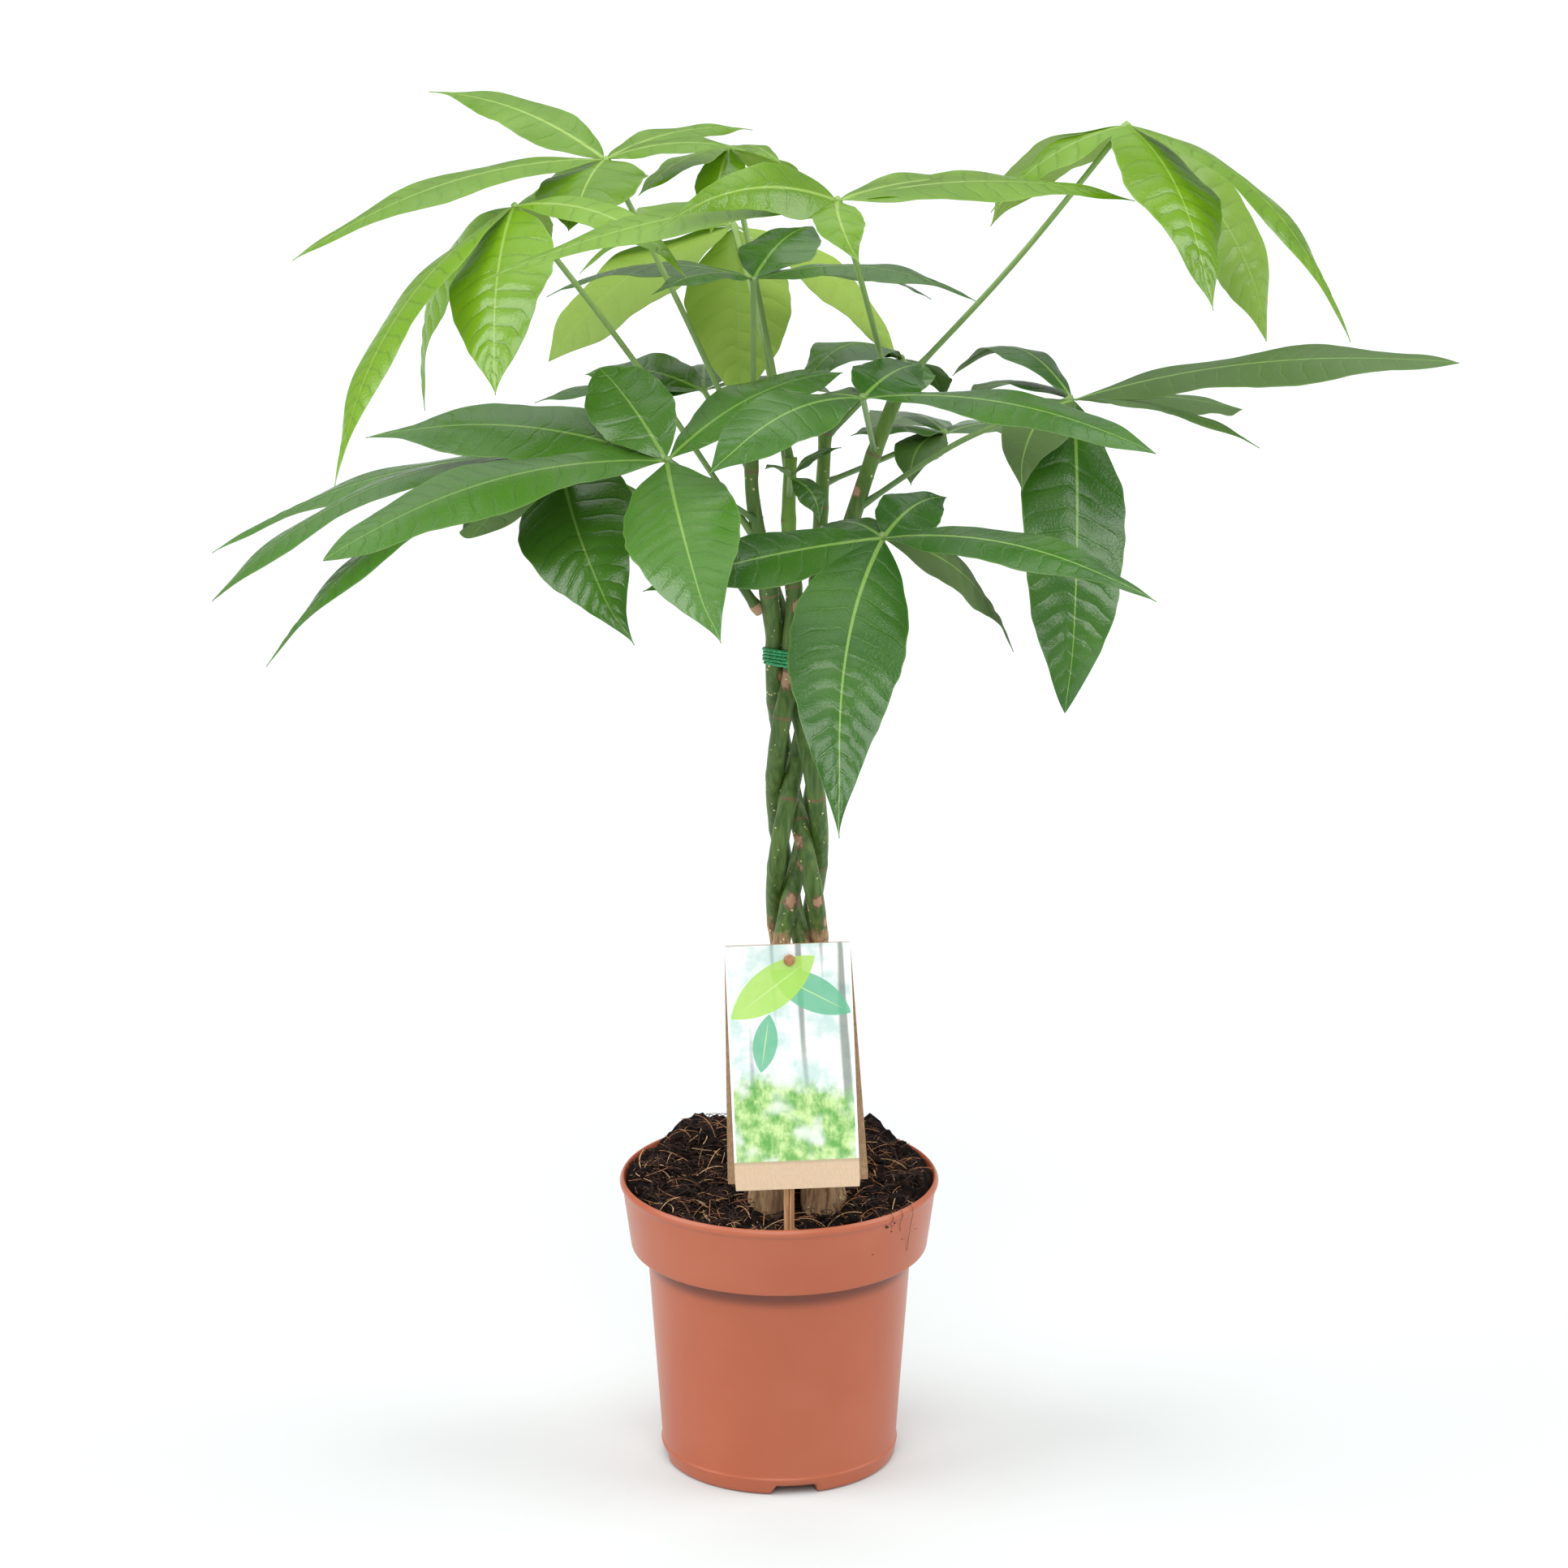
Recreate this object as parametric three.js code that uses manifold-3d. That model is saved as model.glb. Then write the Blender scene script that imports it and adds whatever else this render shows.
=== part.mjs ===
// Potted money tree: five slender braided stems in a terracotta-coloured plastic pot of compost,
// with palmate leaves on long stalks and a plain two-card plant label on a split stick.
// Millimetres, +Z up, +Y away from the front, origin at the middle of the pot's underside.
import * as THREE from "three";
import { mergeVertices } from "three/addons/utils/BufferGeometryUtils.js";
import Module from "manifold-3d";

const wasm = await Module();
wasm.setup();

// ---------------------------------------------------------------- driving dimensions
const GAP = 0.3; // clearance between pieces that touch

const POT = {
  height: 159, rimRadius: 85, collarRadius: 79, collarHeight: 39, ledgeRadius: 70.5, footRadius: 62.3,
  wall: 1.8, bandHeight: 6, recess: 5.5, floor: 2, footWall: 7, padRadius: 22, sides: 36,
  notchWidth: 27, notchTurn: 8, notches: 4, drainRadius: 5, drainRing: 38, drains: 6,
};

const SOIL = { level: 151, slope: 13, edgeDrop: 4, bump: 1.6, sides: 30, rings: 5 };

const TRUNK = {
  centre: [9.5, 0], stemRadius: 4.7, braidWidth: 11.8, braidDepth: 12.6, braidPitch: 300, startPhase: 18,
  buttressRing: 24, buttressTurn: 18, buttressExtra: 7.8, buttressHeight: 30, rootDepth: 100,
  soilHeight: 148, braidStart: 225, tieHeight: 446, tieHold: 9, stems: 5, sides: 7,
};

const TIE = { height: 10, thickness: 1.4 };

const LEAF = {
  thickness: 0.8, fold: -0.14, widest: 0.43, fullness: 2.3, baseWidth: 2.2, baseGap: 1, tipWidth: 1.1,
  stalkRadius: 1.5, hubRadius: 2.5,
};

const LABEL = {
  cardWidth: 65, cardHeight: 132, cardThickness: 0.8, top: 309, front: -64, turn: -2.4, lean: 3, middle: 4.3,
  backWidth: 74, backHeight: 136, backLean: 5,
  stickWidth: 5.6, stickDepth: 3, stickBottom: 85, stickTop: 306, stickFront: -63.6, groove: 0.8, back: -59.7,
  pegRadius: 3, pegShaft: 1.2, pegLength: 4.4, pegDrop: 8,
};

const COLOURS = {
  pot: 0xc46f56, soil: 0x2b1d16, bark: 0x4d7a3a, tie: 0x1f9a4a, young: 0x84b43e, mature: 0x3d7033,
  card: 0xcfe3b0, kraft: 0xb08d68, stick: 0xa47a52, peg: 0x8a5a33,
};

// ---------------------------------------------------------------- small helpers
const rad = THREE.MathUtils.degToRad;
const vec = (x, y, z) => new THREE.Vector3(x, y, z);
const smooth = THREE.MathUtils.smoothstep;
const mix = THREE.MathUtils.lerp;

/** Unit vector at a heading in the ground plane (0 = +X, 90 = +Y) and a rise above it, in degrees. */
function direction(heading, rise) {
  const level = Math.cos(rad(rise));
  return vec(level * Math.cos(rad(heading)), level * Math.sin(rad(heading)), Math.sin(rad(rise)));
}

/** Closed geometry to a solid that can be joined and cut. */
function solid(geometry) {
  const plain = geometry.clone();
  plain.deleteAttribute("normal");
  plain.deleteAttribute("uv");
  const merged = mergeVertices(plain, 1e-4);
  const vertProperties = new Float32Array(merged.attributes.position.array);
  const triVerts = new Uint32Array(merged.index.array);
  return new wasm.Manifold(new wasm.Mesh({ numProp: 3, vertProperties, triVerts }));
}

/** Solid back to a geometry. */
function geometryOf(body) {
  const mesh = body.getMesh();
  const geometry = new THREE.BufferGeometry();
  geometry.setAttribute("position", new THREE.BufferAttribute(new Float32Array(mesh.vertProperties), 3));
  geometry.setIndex(new THREE.BufferAttribute(new Uint32Array(mesh.triVerts), 1));
  geometry.computeVertexNormals();
  return geometry;
}

function union(bodies) {
  return bodies.reduce((whole, body) => whole.add(body));
}

/** Largest connected body of a solid, so that a loose sliver left by a cut is dropped. */
function mainBody(body) {
  return body.decompose().reduce((best, part) => (part.volume() > best.volume() ? part : best));
}

/** Capped tube along a curve whose radius follows a formula of the distance along it (0 to 1). */
function tube(curve, steps, sides, radiusAt) {
  const geometry = new THREE.CylinderGeometry(1, 1, 1, sides, steps);
  const frames = curve.computeFrenetFrames(steps);
  const position = geometry.attributes.position;
  for (let i = 0; i < position.count; i++) {
    const step = Math.round((position.getY(i) + 0.5) * steps);
    const radius = radiusAt(step / steps);
    const point = curve.getPointAt(step / steps);
    point.addScaledVector(frames.binormals[step], position.getX(i) * radius);
    point.addScaledVector(frames.normals[step], position.getZ(i) * radius);
    position.setXYZ(i, point.x, point.y, point.z);
  }
  return geometry;
}

function material(colour, roughness) {
  return new THREE.MeshStandardMaterial({ color: colour, roughness, metalness: 0 });
}

const plant = new THREE.Group();

function addNode(name, geometry, colour, roughness) {
  const mesh = new THREE.Mesh(geometry, material(colour, roughness));
  mesh.name = name;
  plant.add(mesh);
  return mesh;
}

// ---------------------------------------------------------------- pot
const potWall = {
  floorTop: POT.recess + POT.floor,
  collarBottom: POT.height - POT.collarHeight,
};

/** Inner radius of the pot at a height. */
function potInside(z) {
  const ledge = potWall.collarBottom + 2 * POT.wall;
  if (z > ledge) {
    return mix(POT.collarRadius, POT.rimRadius, (z - ledge) / (POT.height - ledge)) - POT.wall - 1;
  }
  return mix(POT.footRadius, POT.ledgeRadius, z / potWall.collarBottom) - POT.wall;
}

function potProfile() {
  const { height, rimRadius, collarRadius, ledgeRadius, footRadius } = POT;
  const { wall, bandHeight, recess, footWall } = POT;
  const { floorTop, collarBottom } = potWall;
  const ledgeInside = collarBottom + 2 * wall;
  const points = [
    [0, 0], [POT.padRadius, 0], [POT.padRadius + 1, recess], [footRadius - footWall - 1, recess],
    [footRadius - footWall, 0], [footRadius - 1.5, 0], [footRadius - 0.3, 1.5], [footRadius, bandHeight],
    [footRadius + 0.5, bandHeight + 0.4], [footRadius + 0.6, bandHeight + 2],
    [ledgeRadius, collarBottom - 1], [collarRadius - 1.2, collarBottom], [collarRadius, collarBottom + 1.4],
    [rimRadius - 1.4, height - 5], [rimRadius - 0.3, height - 3.4], [rimRadius, height - 1.8],
    [rimRadius - 0.6, height - 0.4], [rimRadius - 1.6, height], [rimRadius - wall - 0.8, height - 0.8],
    [potInside(ledgeInside + 0.01), ledgeInside], [potInside(ledgeInside - 3), ledgeInside - 3],
    [potInside(floorTop + 4), floorTop + 4], [potInside(floorTop) - 3, floorTop], [0, floorTop],
  ];
  return points.map(([r, z]) => new THREE.Vector2(r, z));
}

/** Wedge with slanted ends that opens one notch in the foot ring. */
function footNotch(turn) {
  const half = POT.notchWidth / 2;
  const outline = new THREE.Shape([
    new THREE.Vector2(-half, -1),
    new THREE.Vector2(half, -1),
    new THREE.Vector2(half - 3, POT.recess),
    new THREE.Vector2(-half + 3, POT.recess),
  ]);
  const notch = new THREE.ExtrudeGeometry(outline, { depth: 30, bevelEnabled: false });
  notch.rotateX(Math.PI / 2);
  notch.translate(0, -POT.footRadius + 20, 0);
  notch.rotateZ(rad(turn));
  return solid(notch);
}

function drainHole(turn) {
  const hole = new THREE.CylinderGeometry(POT.drainRadius, POT.drainRadius, 30, 16);
  hole.rotateX(Math.PI / 2);
  const place = direction(turn, 0).multiplyScalar(POT.drainRing);
  hole.translate(place.x, place.y, 0);
  return solid(hole);
}

function buildPot() {
  const lathe = new THREE.LatheGeometry(potProfile(), POT.sides);
  lathe.rotateX(Math.PI / 2);
  let body = solid(lathe);
  for (let i = 0; i < POT.notches; i++) {
    body = body.subtract(footNotch(POT.notchTurn + (i * 360) / POT.notches));
  }
  for (let i = 0; i < POT.drains; i++) {
    body = body.subtract(drainHole(30 + (i * 360) / POT.drains));
  }
  return geometryOf(mainBody(body));
}

// ---------------------------------------------------------------- stems
const trunkCentre = vec(TRUNK.centre[0], TRUNK.centre[1], 0);

/** Place of one braided stem across the bundle, on a figure of eight, at a height. */
function braidPoint(index, z) {
  const height = THREE.MathUtils.clamp(z, TRUNK.braidStart, TRUNK.tieHeight - TRUNK.tieHold);
  const turn = (360 * (height - TRUNK.braidStart)) / TRUNK.braidPitch;
  const phase = rad(TRUNK.startPhase + (index * 360) / TRUNK.stems + turn);
  const x = TRUNK.braidWidth * Math.sin(phase);
  const y = TRUNK.braidDepth * Math.sin(2 * phase);
  return vec(x, y, z).add(trunkCentre);
}

/** Place of the swollen foot of one stem on the ring of five. */
function buttressPoint(index, z) {
  const order = [1, 0, -1, 2, -2];
  const turn = TRUNK.buttressTurn + (order[index] * 360) / TRUNK.stems;
  const place = direction(turn, 0).multiplyScalar(TRUNK.buttressRing);
  return vec(place.x, place.y, z).add(trunkCentre);
}

// Where each stem goes above the tie, and how it ends.
const CROWN = [
  { name: "stem_cut", route: [[-4, -4, 470], [-6, -7, 487]], endRadius: 4.8 },
  { name: "stem_middle", route: [[8, -5, 475], [5, 1, 515], [6, 6, 550]], endRadius: 3.4 },
  { name: "stem_right_back", route: [[20, 12, 480], [22, 24, 520], [24, 34, 556]], endRadius: 3.4 },
  { name: "stem_right", route: [[21, -9, 475], [35, -6, 512], [48, 0, 551], [63, 4, 590]], endRadius: 3.8 },
  { name: "stem_left", route: [[-2, 9, 474], [-9, 5, 502], [-14, 2, 535], [-13, 0, 562]], endRadius: 3.4 },
];

function stemCurve(index) {
  const points = [];
  const { rootDepth, soilHeight, braidStart, tieHeight, tieHold } = TRUNK;
  for (const z of [rootDepth, soilHeight]) {
    points.push(buttressPoint(index, z));
  }
  for (const z of [165, 185, 205]) {
    const share = smooth(z, soilHeight, braidStart);
    points.push(buttressPoint(index, z).lerp(braidPoint(index, z), share));
  }
  const braidSteps = 12;
  for (let i = 0; i <= braidSteps; i++) {
    points.push(braidPoint(index, mix(braidStart, tieHeight - tieHold, i / braidSteps)));
  }
  points.push(braidPoint(index, tieHeight + tieHold));
  for (const [x, y, z] of CROWN[index].route) {
    points.push(vec(x, y, z));
  }
  return new THREE.CatmullRomCurve3(points, false, "centripetal");
}

/** Radius of a stem at a height: a swollen foot, a slender middle and a thinner tip. */
function stemRadius(index, z) {
  const { stemRadius: radius, buttressExtra, buttressHeight, soilHeight, tieHeight } = TRUNK;
  const above = Math.max(z - soilHeight, 0) / buttressHeight;
  const below = Math.max(soilHeight - z, 0) / (soilHeight - TRUNK.rootDepth);
  const foot = buttressExtra * Math.exp(-above * above) * (1 - 0.6 * below);
  const top = CROWN[index].route.at(-1)[2];
  const taper = smooth(z, tieHeight, top);
  return mix(radius, CROWN[index].endRadius, taper) + foot;
}

const stemCurves = CROWN.map((_, index) => stemCurve(index));

function stemSolid(index, extra) {
  const curve = stemCurves[index];
  const steps = 30;
  const radiusAt = (t) => stemRadius(index, curve.getPointAt(t).z) + extra;
  return solid(tube(curve, steps, TRUNK.sides, radiusAt));
}

const stemSolids = CROWN.map((_, index) => stemSolid(index, 0));
const stemHoles = CROWN.map((_, index) => stemSolid(index, GAP));

/** Point on the middle line of a stem at a height. */
function stemPoint(index, z) {
  let low = 0;
  let high = 1;
  for (let i = 0; i < 24; i++) {
    const middle = (low + high) / 2;
    if (stemCurves[index].getPointAt(middle).z < z) {
      low = middle;
    } else {
      high = middle;
    }
  }
  return stemCurves[index].getPointAt(low);
}

// ---------------------------------------------------------------- leaves
const stemNumber = Object.fromEntries(CROWN.map((crown, index) => [crown.name, index]));

// Each leaf: the stem and height its stalk grows from, its hub, how far its face leans outward, how far
// its stalk bows up, and its leaflets as heading, rise, length, width, arch, roll and sway, with the place
// of the greatest width and the fullness last where they differ from LEAF. Arch is the bend upward and sway
// the bend sideways, both as a share of the length; roll turns the blade on its midrib.
const LEAVES = [
  {
    name: "leaf_upper_left", stem: "stem_left", foot: 502, hub: [-133, -40, 691],
    lean: 25, stalkBow: 6, young: true,
    leaflets: [
      [-93, -36, 125, 58, 0.1, 0, 0.03], [-122, -36, 190, 36, 0.1, 8, 0.07],
      [148, -63, 125, 36, 0.17, -20], [-36, -11, 112, 22, 0.12, 0], [72, -42, 60, 22, 0.08, 0],
    ],
  },
  {
    name: "leaf_top_left", stem: "stem_left", foot: 548, hub: [-88, 0, 707],
    lean: 10, stalkBow: 4, young: true,
    leaflets: [
      [142, 10, 120, 32, 0.07, -10, 0, 0.36], [-153, -12, 175, 34, 0.08, -10],
      [164, -34, 66, 40, 0.06, -15], [-104, -21, 68, 60, 0.1, 0], [26, 5, 84, 32, 0.085, 10, 0, 0.36],
      [-13, 6, 74, 22, 0.08, 10],
    ],
  },
  {
    name: "leaf_top_back", stem: "stem_middle", foot: 546, hub: [-26, 60, 701],
    lean: 8, stalkBow: 3, young: true,
    leaflets: [
      [-98, -28, 70, 26, 0.1, 0], [-135, -14, 66, 30, 0.1, 0], [-58, 0, 50, 16, 0.1, 0],
      [88, -22, 60, 26, 0.1, 0], [40, -36, 70, 30, 0.12, 0],
    ],
  },
  {
    name: "leaf_back", stem: "stem_middle", foot: 536, hub: [-24, 120, 648],
    lean: 12, stalkBow: 10, young: true,
    leaflets: [
      [-153, -30, 125, 62, 0.1, -20, 0, 0.52, 2], [-86, -52, 107, 56, 0.06, 0],
      [177, -18, 86, 30, 0.16, -20], [118, -12, 120, 44, 0.12, 0], [-10, -39, 112, 38, 0.12, 30, 0, 0.52],
    ],
  },
  {
    name: "leaf_top_centre", stem: "stem_right", foot: 578, hub: [29, -80, 702],
    lean: 8, stalkBow: 3, young: true,
    leaflets: [
      [-146, -2, 108, 34, 0.125, -34, 0, 0.24], [-158, -8, 187, 34, 0.055, 0],
      [-79, -23, 55, 26, 0.12, 0, 0.08], [21, -4, 160, 42, 0.06, 0], [30, -5, 125, 36, 0.08, 0],
    ],
  },
  {
    name: "leaf_top_right", stem: "stem_right", foot: 587, hub: [178, 20, 721],
    lean: 18, stalkBow: -4, young: true,
    leaflets: [
      [140, -36, 110, 42, 0.1, 0], [-165, -30, 84, 34, 0.1, 0], [-70, -35, 130, 60, 0.12, 0, -0.02, 0.38],
      [15, -56, 140, 50, 0.1, 50, 0, 0.52], [-38, -35, 165, 34, 0.15, 0],
    ],
  },
  {
    name: "leaf_inner", stem: "stem_left", foot: 558, hub: [-13, 0, 645],
    lean: 0, stalkBow: 0, young: false,
    leaflets: [
      [154, -10, 122, 34, 0.1, 0], [-136, 2, 70, 26, 0.1, 0], [63, 12, 70, 42, 0.1, 0],
      [-20, -1, 120, 36, 0.1, 0], [30, -12, 110, 34, 0.1, 0],
    ],
  },
  {
    name: "leaf_front_left", stem: "stem_left", foot: 516, hub: [-56, -90, 572],
    lean: 22, stalkBow: 0, young: false,
    leaflets: [
      [156, -2, 170, 52, 0.075, 0], [-156, -10, 185, 52, 0.085, 0, 0, 0.55, 1.8],
      [131, 37, 64, 44, 0.04, 0, 0, 0.58, 1.6], [36, 16, 112, 46, 0.09, 0, 0, 0.5],
      [-79, -24, 145, 58, 0.1, 0, 0.035],
    ],
  },
  {
    name: "leaf_low_left", stem: "stem_left", foot: 486, hub: [-112, -10, 555],
    lean: 25, stalkBow: 4, young: false,
    leaflets: [
      [176, -17, 190, 40, 0.08, 0], [-160, -18, 195, 42, 0.12, 0, 0, 0.55], [-151, -28, 190, 42, 0.1, 0],
      [-118, -15, 90, 56, 0.06, 0, 0, 0.6, 1.8], [-72, -30, 140, 62, 0.1, 0, 0.07, 0.36],
    ],
  },
  {
    name: "leaf_centre", stem: "stem_right", foot: 553, hub: [42, -60, 597],
    lean: 18, stalkBow: 0, young: false,
    leaflets: [
      [-129, -8, 120, 42, 0.1, 0, 0, 0.5], [-30, -3, 165, 38, 0.07, 0, 0, 0.55], [56, 7, 56, 38, 0.08, 0],
      [138, -16, 50, 30, 0.1, 0],
    ],
  },
  {
    name: "leaf_back_right", stem: "stem_right_back", foot: 552, hub: [65, 85, 584],
    lean: 10, stalkBow: 0, young: false,
    leaflets: [
      [175, 4, 36, 22, 0.1, 0], [-140, -6, 72, 50, 0.24, 0], [-76, -20, 35, 28, 0.1, 0],
      [55, -36, 50, 30, 0.12, 0], [85, -50, 36, 22, 0.1, 0],
    ],
  },
  {
    name: "leaf_right", stem: "stem_right", foot: 524, hub: [151, 0, 582],
    lean: 15, stalkBow: 8, young: false,
    leaflets: [
      [-93, -55, 170, 58, 0.12, 0, -0.02, 0.44, 1.6], [-21, 10, 205, 50, 0.05, 16],
      [38, -11, 120, 40, 0.04, 0, 0, 0.55], [-41, -3, 120, 24, 0.07, 0], [138, 0, 80, 36, 0.27, 0],
      [130, -8, 84, 30, 0.1, 0], [-111, -18, 90, 34, 0.1, 0, 0.06],
    ],
  },
  {
    name: "leaf_low_back", stem: "stem_right_back", foot: 530, hub: [88, 80, 545],
    lean: 15, stalkBow: 0, young: false,
    leaflets: [
      [-147, 6, 60, 32, 0.08, 0], [51, -20, 110, 40, 0.12, 0], [-110, -14, 60, 26, 0.1, 0, 0.08],
      [110, -15, 110, 40, 0.12, 0],
    ],
  },
  {
    name: "leaf_front_right", stem: "stem_right", foot: 508, hub: [52, -100, 535],
    lean: 25, stalkBow: 0, young: false,
    leaflets: [
      [-99, -42, 175, 58, 0.1, 0, 0.045, 0.39], [-163, -8, 126, 40, 0.03, 0],
      [-38, -2, 165, 36, 0.075, 0], [57, 8, 60, 32, 0.1, 0], [122, -8, 60, 26, 0.1, 0],
      [34, -41, 107, 38, 0.12, 0],
    ],
  },
  {
    name: "leaf_back_left", stem: "stem_left", foot: 541, hub: [-40, 80, 568],
    lean: 15, stalkBow: 0, young: false,
    leaflets: [
      [152, 0, 72, 44, 0.1, -25], [168, -7, 92, 36, 0.08, -12], [90, -12, 110, 42, 0.12, 0],
      [40, -10, 90, 36, 0.1, 0],
    ],
  },
  {
    name: "leaf_shoot", stem: "stem_middle", foot: 528, hub: [6, -14, 545],
    lean: 10, stalkBow: 0, young: false,
    leaflets: [
      [-35, -50, 28, 18, 0.2, 0], [-120, 20, 28, 11, 0.12, 0], [0, 30, 30, 11, 0.12, 0],
    ],
  },
];

/** Half width of a leaflet along its length (0 at the hub, 1 at the tip), as a share of its greatest. */
function outline(t, widest, fullness) {
  const rise = fullness * widest;
  const fall = fullness * (1 - widest);
  const peak = widest ** rise * (1 - widest) ** fall;
  return (t ** rise * (1 - t) ** fall) / peak;
}

const STATIONS = [0, 0.13, 0.31, 0.5, 0.69, 0.86, 1];
const RING = 6;

/** One leaflet: a thin arched blade folded along its midrib, as a closed body. */
function leafletGeometry(hub, faceNormal, leaflet) {
  const [heading, rise, length, width, arch, roll = 0, sway = 0] = leaflet;
  const [widest = LEAF.widest, fullness = LEAF.fullness] = leaflet.slice(7);
  const chord = direction(heading, rise);
  const lift = direction(heading, rise + 90);
  const across = new THREE.Vector3().crossVectors(chord, faceNormal).normalize();
  const bend = lift.multiplyScalar(arch).addScaledVector(across, sway);
  across.applyAxisAngle(chord, rad(roll));
  const positions = [];
  for (const t of STATIONS) {
    const middle = hub.clone().addScaledVector(chord, mix(LEAF.baseGap, length, t));
    middle.addScaledVector(bend, 4 * length * t * (1 - t));
    const tangent = chord.clone().addScaledVector(bend, 4 * (1 - 2 * t)).normalize();
    const normal = new THREE.Vector3().crossVectors(across, tangent).normalize();
    const level = new THREE.Vector3().crossVectors(tangent, normal);
    const thin = t < 0.5 ? LEAF.baseWidth : LEAF.tipWidth;
    const half = Math.max(outline(t, widest, fullness) * width, thin) / 2;
    const edges = [-half, 0, half, half, 0, -half];
    edges.forEach((side, corner) => {
      const face = corner < 3 ? LEAF.thickness / 2 : -LEAF.thickness / 2;
      const point = middle.clone().addScaledVector(level, side);
      point.addScaledVector(normal, Math.abs(side) * LEAF.fold + face);
      positions.push(point.x, point.y, point.z);
    });
  }
  const geometry = new THREE.BufferGeometry();
  geometry.setAttribute("position", new THREE.BufferAttribute(new Float32Array(positions), 3));
  geometry.setIndex(bladeIndex());
  return geometry;
}

/** Triangles of a blade, split alike on its upper and lower face. */
function bladeIndex() {
  const index = [];
  const last = (STATIONS.length - 1) * RING;
  for (let base = 0; base < last; base += RING) {
    for (let corner = 0; corner < RING; corner++) {
      const a = base + corner;
      const b = base + ((corner + 1) % RING);
      if (corner < RING / 2) {
        index.push(a, b, b + RING, a, b + RING, a + RING);
      } else {
        index.push(a, b, a + RING, b, b + RING, a + RING);
      }
    }
  }
  for (const [a, b] of [[0, 5], [5, 4], [4, 3], [3, 2]]) {
    index.push(1, a, b);
    index.push(last + 1, last + b, last + a);
  }
  return index;
}

/** Leaf stalk from inside its stem to the hub, thicker at both ends. */
function stalkGeometry(foot, hub, bow) {
  const middle = foot.clone().lerp(hub, 0.5);
  middle.z += bow;
  const past = hub.clone().add(vec(0, 0, 1));
  const curve = new THREE.CatmullRomCurve3([foot, middle, past], false, "centripetal");
  const radiusAt = (t) => {
    const swell = Math.max(1 - t * 8, 0) + smooth(t, 0.93, 1);
    return mix(LEAF.stalkRadius, LEAF.hubRadius, Math.min(swell, 1));
  };
  return tube(curve, 8, 5, radiusAt);
}

function buildLeaf(leaf) {
  const hub = vec(...leaf.hub);
  const stem = stemNumber[leaf.stem];
  const foot = stemPoint(stem, leaf.foot);
  const outward = THREE.MathUtils.radToDeg(Math.atan2(hub.y - trunkCentre.y, hub.x - trunkCentre.x));
  const faceNormal = direction(outward, 90 - leaf.lean);
  const blades = leaf.leaflets.map((leaflet) => solid(leafletGeometry(hub, faceNormal, leaflet)));
  const stalk = solid(stalkGeometry(foot, hub, leaf.stalkBow));
  const whole = union([stalk, ...blades]).subtract(stemHoles[stem]);
  return geometryOf(mainBody(whole));
}

// ---------------------------------------------------------------- compost
/** Height of the compost's surface: higher at the back, lower at the wall, gently uneven. */
function soilTop(x, y) {
  const reach = Math.hypot(x, y) / POT.rimRadius;
  const slope = (SOIL.slope * y) / POT.rimRadius;
  const wave = SOIL.bump * (Math.sin(x / 9 + 1) * Math.cos(y / 11) + Math.sin((x + y) / 17));
  return SOIL.level + slope + wave - SOIL.edgeDrop * reach ** 4;
}

function buildSoil(holes) {
  const wallTop = POT.height - 14;
  const bottom = potWall.floorTop + GAP;
  const ledge = potWall.collarBottom + 2 * POT.wall;
  const profile = [
    [0, bottom],
    [potInside(bottom) - 3 - GAP, bottom],
    [potInside(bottom + 4) - GAP, bottom + 4],
    [potInside(ledge - 3) - GAP, ledge - 3],
    [potInside(ledge - 3) - GAP, ledge + GAP],
    [potInside(ledge + 0.01) - GAP, ledge + GAP],
    [potInside(wallTop) - GAP, wallTop],
  ];
  const reach = potInside(wallTop) - GAP - 0.2;
  for (let ring = SOIL.rings; ring >= 0; ring--) {
    profile.push([(reach * ring) / SOIL.rings, wallTop + 1]);
  }
  const geometry = new THREE.LatheGeometry(profile.map(([r, z]) => new THREE.Vector2(r, z)), SOIL.sides);
  geometry.rotateX(Math.PI / 2);
  const position = geometry.attributes.position;
  for (let i = 0; i < position.count; i++) {
    if (position.getZ(i) > wallTop + 0.5) {
      position.setZ(i, soilTop(position.getX(i), position.getY(i)));
    }
  }
  return geometryOf(mainBody(holes.reduce((body, hole) => body.subtract(hole), solid(geometry))));
}

// ---------------------------------------------------------------- tie
/** Outline round the bundle at the tie, a set distance outside its stems. */
function bundleOutline(distance) {
  const places = CROWN.map((_, index) => braidPoint(index, TRUNK.tieHeight));
  const points = [];
  const count = 48;
  for (let i = 0; i < count; i++) {
    const side = direction((360 * i) / count, 0);
    const outer = places.reduce((best, place) => (place.dot(side) > best.dot(side) ? place : best));
    const point = outer.clone().addScaledVector(side, TRUNK.stemRadius + distance);
    points.push(new THREE.Vector2(point.x, point.y));
  }
  return points;
}

function buildTie() {
  const section = new THREE.Shape(bundleOutline(GAP + TIE.thickness));
  section.holes.push(new THREE.Path(bundleOutline(GAP)));
  const geometry = new THREE.ExtrudeGeometry(section, { depth: TIE.height, bevelEnabled: false });
  geometry.translate(0, 0, TRUNK.tieHeight - TIE.height / 2);
  const band = stemHoles.reduce((body, hole) => body.subtract(hole), solid(geometry));
  return geometryOf(mainBody(band));
}

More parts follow.
